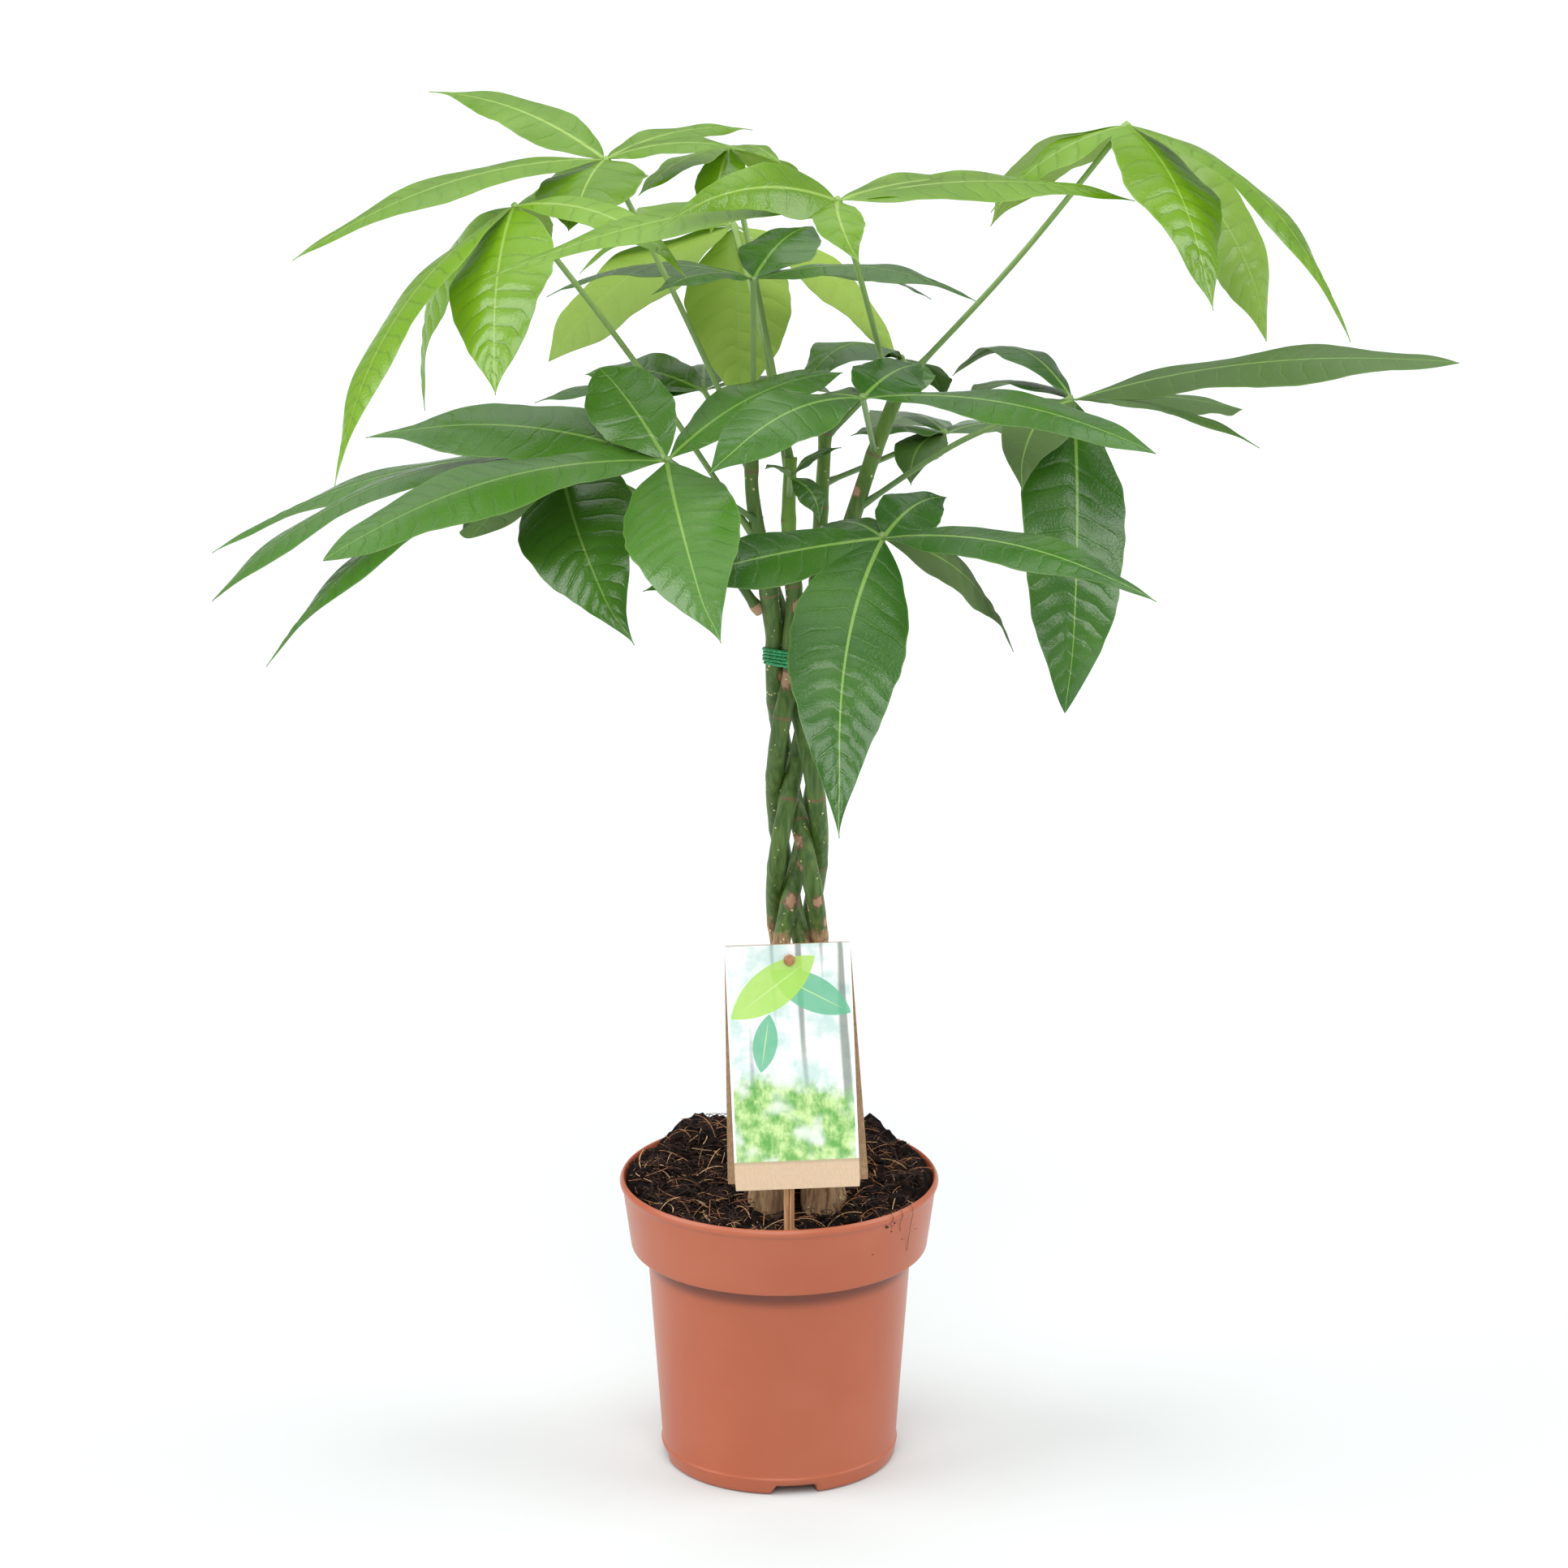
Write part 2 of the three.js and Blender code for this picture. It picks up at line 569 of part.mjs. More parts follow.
// ---------------------------------------------------------------- label
/** Card as a thin extruded outline, upright, its front face towards -Y, its top edge at z = 0. */
function cardGeometry(topWidth, bottomWidth, height) {
  const card = new THREE.Shape([
    new THREE.Vector2(-bottomWidth / 2, -height),
    new THREE.Vector2(bottomWidth / 2, -height),
    new THREE.Vector2(topWidth / 2, 0),
    new THREE.Vector2(-topWidth / 2, 0),
  ]);
  const geometry = new THREE.ExtrudeGeometry(card, { depth: LABEL.cardThickness, bevelEnabled: false });
  geometry.rotateX(Math.PI / 2);
  return geometry;
}

/** Split stick with a groove down its front, grown all round by an extra distance. */
function stickGeometry(extra) {
  const { stickWidth, stickDepth, groove, stickBottom, stickTop } = LABEL;
  const side = stickWidth / 2 + extra;
  const section = new THREE.Shape([
    new THREE.Vector2(-side, -extra),
    new THREE.Vector2(-groove / 2, -extra),
    new THREE.Vector2(0, groove - extra),
    new THREE.Vector2(groove / 2, -extra),
    new THREE.Vector2(side, -extra),
    new THREE.Vector2(side, stickDepth + extra),
    new THREE.Vector2(-side, stickDepth + extra),
  ]);
  const depth = stickTop - stickBottom + 2 * extra;
  const geometry = new THREE.ExtrudeGeometry(section, { depth, bevelEnabled: false });
  geometry.translate(LABEL.middle + 1, LABEL.stickFront, stickBottom - extra);
  return geometry;
}

/** Round-headed wooden peg that pins the front card to the stick. */
function pegGeometry(extra) {
  const { pegRadius, pegShaft, pegLength, pegDrop } = LABEL;
  const profile = [
    [0, -pegRadius], [0.7 * pegRadius, -0.7 * pegRadius], [pegRadius, 0], [0.7 * pegRadius, 0.6 * pegRadius],
    [pegShaft + extra, 0.6 * pegRadius], [pegShaft + extra, pegLength + extra], [0, pegLength + extra],
  ];
  const geometry = new THREE.LatheGeometry(profile.map(([r, y]) => new THREE.Vector2(r, y)), 12);
  geometry.translate(LABEL.middle + 1, LABEL.front - 0.6 * pegRadius - GAP, LABEL.top - pegDrop);
  return geometry;
}

function labelPieces() {
  const { top, front, turn, middle } = LABEL;
  const pegHole = solid(pegGeometry(GAP));

  const face = cardGeometry(LABEL.cardWidth, LABEL.cardWidth, LABEL.cardHeight);
  face.rotateY(rad(turn));
  face.translate(0, 0, LABEL.pegDrop);
  face.rotateX(rad(-LABEL.lean));
  face.translate(middle, front, top - LABEL.pegDrop);

  const back = cardGeometry(LABEL.cardWidth, LABEL.backWidth, LABEL.backHeight);
  back.rotateY(rad(turn));
  back.rotateX(rad(LABEL.backLean));
  back.translate(middle, LABEL.back, top - 1);

  return {
    face: geometryOf(solid(face).subtract(pegHole)),
    back,
    stick: geometryOf(solid(stickGeometry(0)).subtract(pegHole)),
    peg: pegGeometry(0),
  };
}

// ---------------------------------------------------------------- the whole plant
addNode("pot", buildPot(), COLOURS.pot, 0.5);

CROWN.forEach((crown, index) => {
  addNode(crown.name, geometryOf(stemSolids[index]), COLOURS.bark, 0.6);
});

addNode("soil", buildSoil([...stemHoles, solid(stickGeometry(GAP))]), COLOURS.soil, 0.95);
addNode("tie", buildTie(), COLOURS.tie, 0.3);

const label = labelPieces();
addNode("label_front", label.face, COLOURS.card, 0.4);
addNode("label_back", label.back, COLOURS.kraft, 0.8);
addNode("label_stick", label.stick, COLOURS.stick, 0.8);
addNode("label_peg", label.peg, COLOURS.peg, 0.6);

for (const leaf of LEAVES) {
  addNode(leaf.name, buildLeaf(leaf), leaf.young ? COLOURS.young : COLOURS.mature, 0.45);
}

export default plant;
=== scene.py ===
"""Potted money tree: the looks of the plant, its pot, its compost and its plain label.

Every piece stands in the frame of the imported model: +Z up, +X to the right and +Y away from the
label's side, with the origin under the middle of the pot. Sizes and places are in millimetres, and
a mesh is turned into metres when it is made. What is scattered by geometry nodes, and every pattern
in a material, is sized in metres.
"""
import logging
import math
from dataclasses import dataclass, field
from enum import Enum
from typing import Callable, Sequence, Union

import bpy
import numpy as np
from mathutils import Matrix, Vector, noise


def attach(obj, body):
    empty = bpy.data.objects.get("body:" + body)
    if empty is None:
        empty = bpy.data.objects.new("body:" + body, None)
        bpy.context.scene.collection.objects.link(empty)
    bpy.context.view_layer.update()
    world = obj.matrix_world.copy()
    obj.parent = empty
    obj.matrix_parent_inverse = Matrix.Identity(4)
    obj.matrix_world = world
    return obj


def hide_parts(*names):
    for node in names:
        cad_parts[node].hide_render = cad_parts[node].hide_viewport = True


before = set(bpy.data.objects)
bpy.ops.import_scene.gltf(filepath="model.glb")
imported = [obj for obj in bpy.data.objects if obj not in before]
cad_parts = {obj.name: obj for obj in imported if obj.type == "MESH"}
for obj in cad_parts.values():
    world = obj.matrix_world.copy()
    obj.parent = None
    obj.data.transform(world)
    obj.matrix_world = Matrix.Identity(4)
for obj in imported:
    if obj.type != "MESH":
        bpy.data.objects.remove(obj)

LOG = logging.getLogger("money_tree")
MM = 0.001
BODY = "root"
FRAME_START = (0.0, 1.0, 0.3)  # the first side of a swept path is square to this
FULL_TURN = 6.283  # radians

Colour = tuple[float, float, float]
Place = tuple[float, float, float]
Array = np.ndarray
Faces = list[tuple[int, ...]]
Material = bpy.types.Material
Piece = bpy.types.Object
Socket = bpy.types.NodeSocket
Input = Union[float, tuple, Material, Socket]


class Slot(Enum):
    """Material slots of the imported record."""

    POT = "terracotta_plastic"
    BARK = "bark"
    COMPOST = "compost"
    TWINE = "green_twine"
    PRINT = "printed_card"
    KRAFT = "kraft_card"
    STICK = "split_wood"
    PEG = "dark_wood"
    YOUNG = "young_leaf"
    MATURE = "mature_leaf"


class Age(Enum):
    """Age of a leaf, which sets its colour and gloss."""

    YOUNG = "young"
    MATURE = "mature"


# ---------- vectors and curves


def direction(heading: float, rise: float) -> Array:
    """Unit vector at a heading in the ground plane and a rise above it.

    Args:
        heading: Degrees from +X towards +Y.
        rise: Degrees above the ground plane.

    Returns:
        The unit vector.
    """
    level = math.cos(math.radians(rise))
    turn = math.radians(heading)
    return np.array([level * math.cos(turn), level * math.sin(turn), math.sin(math.radians(rise))])


def unit(vectors: Array) -> Array:
    """Scale a vector, or each row of an array of vectors, to length one."""
    return vectors / np.linalg.norm(vectors, axis=-1, keepdims=True)


def smooth(value: Union[float, Array], low: float, high: float) -> Union[float, Array]:
    """Smooth step of a number or an array, from 0 at low to 1 at high."""
    share = np.clip((value - low) / (high - low), 0.0, 1.0)
    return share * share * (3.0 - 2.0 * share)


def turned(vector: Array, axis: Array, degrees: float) -> Array:
    """Turn a vector about a unit axis.

    Args:
        vector: Vector to turn.
        axis: Unit axis.
        degrees: Angle by the right-hand rule.

    Returns:
        The turned vector.
    """
    angle = math.radians(degrees)
    along = axis * np.dot(axis, vector) * (1.0 - math.cos(angle))
    return vector * math.cos(angle) + np.cross(axis, vector) * math.sin(angle) + along


class Route:
    """Smooth centripetal curve through points, read by its share of length."""

    def __init__(self, points: Sequence[Sequence[float]], dense: int = 24) -> None:
        """Sample the curve.

        Args:
            points: Points that the curve passes through.
            dense: Samples between two points.
        """
        given = np.array(points, float)
        ends = (2 * given[0] - given[1], 2 * given[-1] - given[-2])
        knots = np.vstack([ends[0], given, ends[1]])
        samples = []
        for i in range(1, len(knots) - 2):
            samples.append(self._span(knots[i - 1 : i + 3], np.arange(dense) / dense))
        samples.append(given[-1:])
        self.samples = np.vstack(samples)
        steps = np.linalg.norm(np.diff(self.samples, axis=0), axis=1)
        self.reach = np.concatenate([[0.0], np.cumsum(steps)])
        self.length = float(self.reach[-1])

    @staticmethod
    def _span(knots: Array, t: Array) -> Array:
        """Points of one span between the second and third of four knots.

        Args:
            knots: Four knots.
            t: Shares along the span.

        Returns:
            One row for each share.
        """
        gaps = np.maximum(np.linalg.norm(np.diff(knots, axis=0), axis=1) ** 0.5, 1e-6)
        a, b, c, d = knots
        start = ((b - a) / gaps[0] - (c - a) / (gaps[0] + gaps[1]) + (c - b) / gaps[1]) * gaps[1]
        end = ((c - b) / gaps[1] - (d - b) / (gaps[1] + gaps[2]) + (d - c) / gaps[2]) * gaps[1]
        t = t[:, None]
        cubic = 2 * b - 2 * c + start + end
        square = -3 * b + 3 * c - 2 * start - end
        return b + start * t + square * t**2 + cubic * t**3

    def at(self, shares: Union[float, Array]) -> Array:
        """Points at shares of the length from 0 to 1, one row for each."""
        wanted = np.atleast_1d(shares) * self.length
        return np.stack([np.interp(wanted, self.reach, self.samples[:, k]) for k in range(3)], axis=-1)

    def at_height(self, z: float) -> Array:
        """First point of the curve at a height."""
        return self.samples[int(np.argmax(self.samples[:, 2] >= z))]


def carried_frames(path: Array) -> tuple[Array, Array]:
    """Two directions square to a path, carried along it without twist.

    Args:
        path: Rows of points along the path.

    Returns:
        The two directions at each point.
    """
    tangents = unit(np.gradient(path, axis=0))
    sides = [unit(np.cross(tangents[0], FRAME_START))]
    for tangent in tangents[1:]:
        sides.append(unit(sides[-1] - tangent * np.dot(sides[-1], tangent)))
    first = np.array(sides)
    return first, np.cross(tangents, first)


# ---------- meshes


def stand(name: str, data: bpy.types.ID) -> Piece:
    """Put an object into the scene, at its origin.

    Args:
        name: Name of the object.
        data: Its mesh, curve, camera or light.

    Returns:
        The object.
    """
    piece = bpy.data.objects.new(name, data)
    bpy.context.scene.collection.objects.link(piece)
    return piece


def evaluated_mesh(piece: Piece) -> bpy.types.Mesh:
    """Carry out a piece's modifiers.

    Args:
        piece: The piece.

    Returns:
        The result as a plain mesh.
    """
    bpy.context.view_layer.update()
    graph = bpy.context.evaluated_depsgraph_get()
    return bpy.data.meshes.new_from_object(piece.evaluated_get(graph), depsgraph=graph)


@dataclass
class Shell:
    """Vertices, faces and per-vertex values of a mesh that is being put together, in millimetres."""

    points: list[Array] = field(default_factory=list)
    faces: Faces = field(default_factory=list)
    slots: list[int] = field(default_factory=list)
    values: dict[str, list[Array]] = field(default_factory=dict)
    count: int = 0

    def add(self, points: Array, faces: Sequence[tuple[int, ...]], slot: int = 0, **values: Array) -> None:
        """Add one closed body.

        Args:
            points: Its vertices.
            faces: Its faces, counted from its own first vertex.
            slot: Material slot of its faces.
            **values: Named values, one for each vertex.
        """
        for name in sorted(set(self.values) | set(values)):
            before = self.values.setdefault(name, [np.zeros(self.count)])
            before.append(np.asarray(values.get(name, np.zeros(len(points))), float))
        self.faces.extend(tuple(self.count + i for i in face) for face in faces)
        self.slots.extend([slot] * len(faces))
        self.points.append(points)
        self.count += len(points)

    def build(self, name: str, materials: Sequence[Material], sharp: bool = False) -> Piece:
        """Make the Blender object.

        Args:
            name: Name of the piece.
            materials: Materials in slot order.
            sharp: True to shade it flat.

        Returns:
            The object, at the origin, in metres.
        """
        mesh = bpy.data.meshes.new(name)
        mesh.from_pydata((np.vstack(self.points) * MM).tolist(), [], self.faces)
        for material in materials:
            mesh.materials.append(material)
        mesh.polygons.foreach_set("material_index", self.slots)
        mesh.polygons.foreach_set("use_smooth", [not sharp] * len(self.faces))
        for label, parts in self.values.items():
            layer = mesh.attributes.new(label, "FLOAT", "POINT")
            layer.data.foreach_set("value", np.concatenate(parts).astype(np.float32))
        mesh.validate()
        mesh.update()
        return stand(name, mesh)


def piece_of(name: str, points: Array, faces: Faces, *materials: Material) -> Piece:
    """Make a smooth piece of one body.

    Args:
        name: Name of the piece.
        points: Its vertices, in millimetres.
        faces: Its faces.
        *materials: Its material, if it has one.

    Returns:
        The piece.
    """
    shell = Shell()
    shell.add(points, faces)
    return shell.build(name, materials)


def open_tube(rings: int, sides: int) -> Faces:
    """Faces between rings of vertices, wound so that they face out.

    Args:
        rings: Number of rings along the tube.
        sides: Vertices in each ring, counted anticlockwise seen from the tube's far end.

    Returns:
        The faces.
    """
    faces: Faces = []
    for start in range(0, (rings - 1) * sides, sides):
        for side in range(sides):
            a, b = start + side, start + (side + 1) % sides
            faces.append((a, b, b + sides, a + sides))
    return faces


def capped_tube(rings: int, sides: int) -> Faces:
    """Faces of a tube with a flat face at each end."""
    far = (rings - 1) * sides
    return open_tube(rings, sides) + [tuple(reversed(range(sides))), tuple(range(far, far + sides))]


def pointed_tube(rings: int, sides: int) -> Faces:
    """Faces of a tube that closes on two points, which follow its rings: the near one, then the far one.

    Args:
        rings: Number of rings along the tube.
        sides: Vertices in each ring.

    Returns:
        The faces.
    """
    faces = open_tube(rings, sides)
    near, far, last = rings * sides, rings * sides + 1, (rings - 1) * sides
    for side in range(sides):
        following = (side + 1) % sides
        faces += [(near, following, side), (far, last + side, last + following)]
    return faces


def around(sides: int) -> Array:
    """Equal steps round a circle, in radians."""
    return np.linspace(0.0, 2 * math.pi, sides, endpoint=False)


def swept(path: Array, radii: Array, sides: int) -> tuple[Array, Faces]:
    """Round tube of changing radius along a path.

    Args:
        path: Rows of points.
        radii: Radius at each point, or at each point and side.
        sides: Vertices round the tube.

    Returns:
        Its vertices and faces.
    """
    first, second = carried_frames(path)
    cos, sin = np.cos(around(sides))[None, :, None], np.sin(around(sides))[None, :, None]
    spread = np.broadcast_to(radii if radii.ndim == 2 else radii[:, None], (len(path), sides))
    rings = path[:, None] + spread[..., None] * (cos * first[:, None] + sin * second[:, None])
    return rings.reshape(-1, 3), capped_tube(len(path), sides)


def lathed(
    profile: Array, sides: int, heights: Callable[[Array, Array], Array] | None = None
) -> tuple[Array, Faces]:
    """Solid of revolution about +Z of a profile that closes on the axis at both ends.

    Args:
        profile: Rows of radius and height, from the axis round the outside back to the axis.
        sides: Steps round the axis.
        heights: Optional rule for the heights, from angles and the profile's rows.

    Returns:
        Its vertices and faces.
    """
    angles, inner = around(sides), profile[1:-1]
    radius = np.repeat(inner[:, :1], sides, axis=1)
    height = heights(angles, inner) if heights else np.repeat(inner[:, 1:], sides, axis=1)
    rings = np.stack([radius * np.cos(angles), radius * np.sin(angles), height], axis=-1)
    points = np.vstack([rings.reshape(-1, 3), [[0, 0, profile[0, 1]], [0, 0, profile[-1, 1]]]])
    return points, pointed_tube(len(inner), sides)


def rounded(profile: Sequence[Sequence[float]], radius: float, steps: int = 4, share: float = 0.45) -> Array:
    """Round the inner corners of an open profile with short arcs.

    Args:
        profile: Rows of radius and height.
        radius: Size of the corner, in millimetres.
        steps: Points on each rounded corner.
        share: Most of a side that one corner takes up.

    Returns:
        The rounded profile.
    """
    given = np.array(profile, float)
    result = [given[0]]
    for before, corner, after in zip(given, given[1:], given[2:]):
        start = corner + unit(before - corner) * min(radius, np.linalg.norm(corner - before) * share)
        end = corner + unit(after - corner) * min(radius, np.linalg.norm(after - corner) * share)
        for t in np.linspace(0.0, 1.0, steps):
            result.append((1 - t) ** 2 * start + 2 * t * (1 - t) * corner + t**2 * end)
    result.append(given[-1])
    return np.array(result)


# ---------- finishes


class Wiring:
    """Puts nodes into one tree and wires them."""

    def __init__(self, tree: bpy.types.NodeTree) -> None:
        """Take a tree and empty it."""
        self.tree = tree
        tree.nodes.clear()

    def node(self, kind: str, inputs: dict[Union[str, int], Input], **settings: object) -> bpy.types.Node:
        """Add a node.

        Args:
            kind: Blender's node type.
            inputs: Output socket to link or value to set, by the input's name or number.
            **settings: Properties of the node.

        Returns:
            The node.
        """
        made = self.tree.nodes.new(kind)
        for key, value in settings.items():
            setattr(made, key, value)
        for key, value in inputs.items():
            socket = made.inputs[key]
            if isinstance(value, Socket):
                self.tree.links.new(value, socket)
            else:
                socket.default_value = (*value, 1.0) if socket.type == "RGBA" else value
        return made


class Shade(Wiring):
    """Wires the nodes of one procedural material."""

    def __init__(self, name: str) -> None:
        """Start an empty material.

        Args:
            name: Its name.
        """
        self.material = bpy.data.materials.new(name)
        self.material.use_nodes = True
        super().__init__(self.material.node_tree)

    def math(self, operation: str, *values: Input) -> Socket:
        """Result of one math operation on its values."""
        return self.node("ShaderNodeMath", dict(enumerate(values)), operation=operation).outputs[0]

    def step(self, value: Input, low: float, high: float, first: float = 0.0, last: float = 1.0) -> Socket:
        """Smooth step of a value from first at low to last at high."""
        inputs = {"Value": value, "From Min": low, "From Max": high, "To Min": first, "To Max": last}
        return self.node("ShaderNodeMapRange", inputs, interpolation_type="SMOOTHSTEP").outputs[0]

    def product(self, *values: Input) -> Socket:
        """Product of two values."""
        return self.math("MULTIPLY", *values)

    def blend(self, value: Input, factor: float, added: Input) -> Socket:
        """Value times a factor, plus what is added."""
        return self.math("MULTIPLY_ADD", value, factor, added)

    def mix(self, factor: Input, first: Input, second: Input) -> Socket:
        """Colour between two colours."""
        return self.node("ShaderNodeMix", {0: factor, 6: first, 7: second}, data_type="RGBA").outputs[2]

    def coordinates(self, scale: Colour = (1.0, 1.0, 1.0)) -> Socket:
        """Object coordinates, stretched by a scale on each axis."""
        place = self.node("ShaderNodeTexCoord", {}).outputs["Object"]
        return self.node("ShaderNodeMapping", {"Vector": place, "Scale": scale}).outputs[0]

    def noise(
        self, scale: float, detail: float = 3.0, rough: float = 0.5, place: Socket | None = None
    ) -> Socket:
        """Noise from 0 to 1 at a scale per metre."""
        inputs = {"Vector": place or self.coordinates(), "Scale": scale, "Detail": detail, "Roughness": rough}
        return self.node("ShaderNodeTexNoise", inputs).outputs["Fac"]

    def cells(self, scale: float) -> Socket:
        """Distance to the nearest edge in a pattern of cells at a scale per metre."""
        inputs = {"Vector": self.coordinates(), "Scale": scale}
        return self.node("ShaderNodeTexVoronoi", inputs, feature="DISTANCE_TO_EDGE").outputs["Distance"]

    def value(self, name: str) -> Socket:
        """Value of the piece's own attribute."""
        return self.node("ShaderNodeAttribute", {}, attribute_name=name).outputs["Fac"]

    def bump(self, height: Input, strength: float, distance: float) -> Socket:
        """Surface direction tilted by a height pattern, whose own height is a distance in metres."""
        inputs = {"Height": height, "Strength": strength, "Distance": distance}
        return self.node("ShaderNodeBump", inputs).outputs[0]

    def surface(self, **inputs: Input) -> Socket:
        """Main shader with inputs named as in Blender, with _ for a space."""
        named = {key.replace("_", " "): value for key, value in inputs.items()}
        return self.node("ShaderNodeBsdfPrincipled", named).outputs[0]

    def finish(self, shader: Socket) -> Material:
        """Connect the shader and return the material."""
        self.node("ShaderNodeOutputMaterial", {"Surface": shader})
        return self.material

    def coat(self, colour: Input, roughness: Input, normal: Socket, **inputs: Input) -> Material:
        """Finish with the main shader alone."""
        return self.finish(self.surface(Base_Color=colour, Roughness=roughness, Normal=normal, **inputs))


@dataclass(frozen=True)
class LeafFinish:
    """Blade of a leaf: veined, with painted shade in its vein creases, glossy above, dull below, and letting
    light through.
    """

    name: str
    dark: Colour
    light: Colour
    vein: Colour
    under: Colour
    glow: Colour
    roughness: float
    sheen: float
    through: float
    lateral: float
    # Share of painted shade that darkens the blade along its vein creases.
    crease: float
    density: float
    vein_width: float = 0.045
    crease_width: float = 0.13
    rim_start: float = 0.965
    net_scale: float = 420.0
    relief: float = 0.0003

    def build(self) -> Material:
        """Make the material.

        Returns:
            The material.
        """
        shade = Shade(self.name)
        across = shade.math("ABSOLUTE", shade.value("across"))
        under, olive = shade.value("under"), shade.value("olive")
        line = shade.math("PINGPONG", shade.value("vein"), 0.5)
        fade = shade.step(across, 0.25, 0.95, self.lateral, 0.04)
        lateral = shade.product(shade.step(line, 0.0, self.vein_width, 1.0, 0.0), fade)
        inner = shade.step(across, 0.7, 1.0, 1.0, 0.2)
        crease = shade.product(shade.step(line, 0.0, self.crease_width, 1.0, 0.0), inner)
        midrib = shade.step(shade.value("rib"), 0.75, 1.25, 1.0, 0.0)
        lines = shade.math("MAXIMUM", lateral, midrib)
        mottled = shade.math("ADD", shade.noise(26.0, 4.0), shade.product(shade.value("tint"), 0.5))
        blade = shade.mix(shade.step(mottled, 0.35, 1.05), self.dark, self.light)
        # Painted shade: the blade darkens towards its dark green along the vein creases.
        crease_shaded = shade.mix(shade.product(crease, self.crease), blade, self.dark)
        veined = shade.mix(lines, shade.mix(olive, crease_shaded, self.under), self.vein)
        rim = shade.product(shade.step(across, self.rim_start, 0.995), 0.35)
        above = shade.mix(rim, veined, self.vein)
        below = shade.mix(shade.product(lines, 0.7), self.under, self.vein)
        colour = shade.mix(under, above, below)
        net = shade.step(shade.cells(self.net_scale), 0.0, 0.16)
        relief = shade.math("ADD", shade.product(net, 0.22), shade.product(crease, -0.9))
        grain = shade.math("ADD", relief, shade.product(shade.noise(300.0), 0.7))
        normal = shade.bump(grain, 0.6, self.relief)
        gloss = shade.blend(shade.noise(60.0), 0.14, self.roughness - 0.07)
        rough = shade.blend(under, 0.22, shade.blend(olive, 0.45, gloss))
        share = {"Specular_IOR_Level": self.sheen, "IOR": self.density}
        solid = shade.surface(Base_Color=colour, Roughness=rough, Normal=normal, **share)
        lit = shade.mix(lines, self.glow, self.vein)
        clear = shade.node("ShaderNodeBsdfTranslucent", {"Color": lit, "Normal": normal}).outputs[0]
        both = shade.node("ShaderNodeMixShader", {0: self.through, 1: solid, 2: clear}).outputs[0]
        return shade.finish(both)


@dataclass(frozen=True)
class StalkFinish:
    """Smooth green leaf stalk, a little darker towards its foot."""

    name: str
    tip: Colour
    foot: Colour
    streak_scale: float = 260.0

    def build(self) -> Material:
        """Make the material.

        Returns:
            The material.
        """
        shade = Shade(self.name)
        streaks = shade.noise(self.streak_scale, 3.0, 0.5, shade.coordinates((1.0, 1.0, 0.15)))
        mixed = shade.blend(streaks, 0.4, shade.value("along"))
        colour = shade.mix(shade.step(mixed, 0.1, 1.1), self.foot, self.tip)
        return shade.coat(colour, 0.42, shade.bump(streaks, 0.25, 0.0002))


@dataclass(frozen=True)
class BarkFinish:
    """Green bark that turns tan and woody towards the compost, with ring scars."""

    name: str = "bark_skin"
    green: Colour = (0.040, 0.098, 0.016)
    pale: Colour = (0.130, 0.215, 0.045)
    fresh: Colour = (0.170, 0.310, 0.045)
    tan: Colour = (0.460, 0.300, 0.160)
    woody: Colour = (0.190, 0.110, 0.060)
    wound: Colour = (0.430, 0.260, 0.155)
    streak_scale: float = 420.0
    patch_scale: float = 34.0
    crack_scale: float = 520.0
    woody_below: float = 0.334
    relief: float = 0.0007

    def build(self) -> Material:
        """Make the material.

        Returns:
            The material.
        """
        shade = Shade(self.name)
        along = shade.value("height")
        streaks = shade.noise(self.streak_scale, 5.0, 0.6, shade.coordinates((1.0, 1.0, 0.10)))
        patches = shade.noise(self.patch_scale, 4.0, 0.6)
        cracks = shade.noise(self.crack_scale, 6.0, 0.7, shade.coordinates((1.0, 1.0, 0.35)))
        skin = shade.mix(shade.step(streaks, 0.28, 0.80), self.green, self.pale)
        young = shade.mix(shade.value("fresh"), skin, self.fresh)
        old = shade.mix(shade.step(streaks, 0.35, 0.62), self.woody, self.tan)
        ragged = shade.blend(patches, 0.09, along)
        aged = shade.step(ragged, self.woody_below, self.woody_below + 0.010, 1.0, 0.0)
        colour = shade.mix(aged, young, old)
        spot = shade.blend(cracks, 1.2, shade.value("scar"))
        away = shade.blend(cracks, 0.03, shade.math("PINGPONG", shade.value("ring"), 0.5))
        broken = shade.product(shade.step(patches, 0.42, 0.50), shade.step(along, 0.20, 0.24))
        line = shade.product(shade.step(away, 0.028, 0.040, 0.8, 0.0), broken)
        rimmed = shade.mix(shade.math("MAXIMUM", shade.step(spot, 1.01, 1.07), line), colour, self.woody)
        scarred = shade.mix(shade.step(spot, 1.16, 1.22), rimmed, self.wound)
        deep = shade.blend(shade.product(cracks, aged), 2.2, streaks)
        rough = shade.blend(aged, 0.35, 0.46)
        return shade.coat(scarred, rough, shade.bump(deep, 0.5, self.relief), Specular_IOR_Level=0.35)


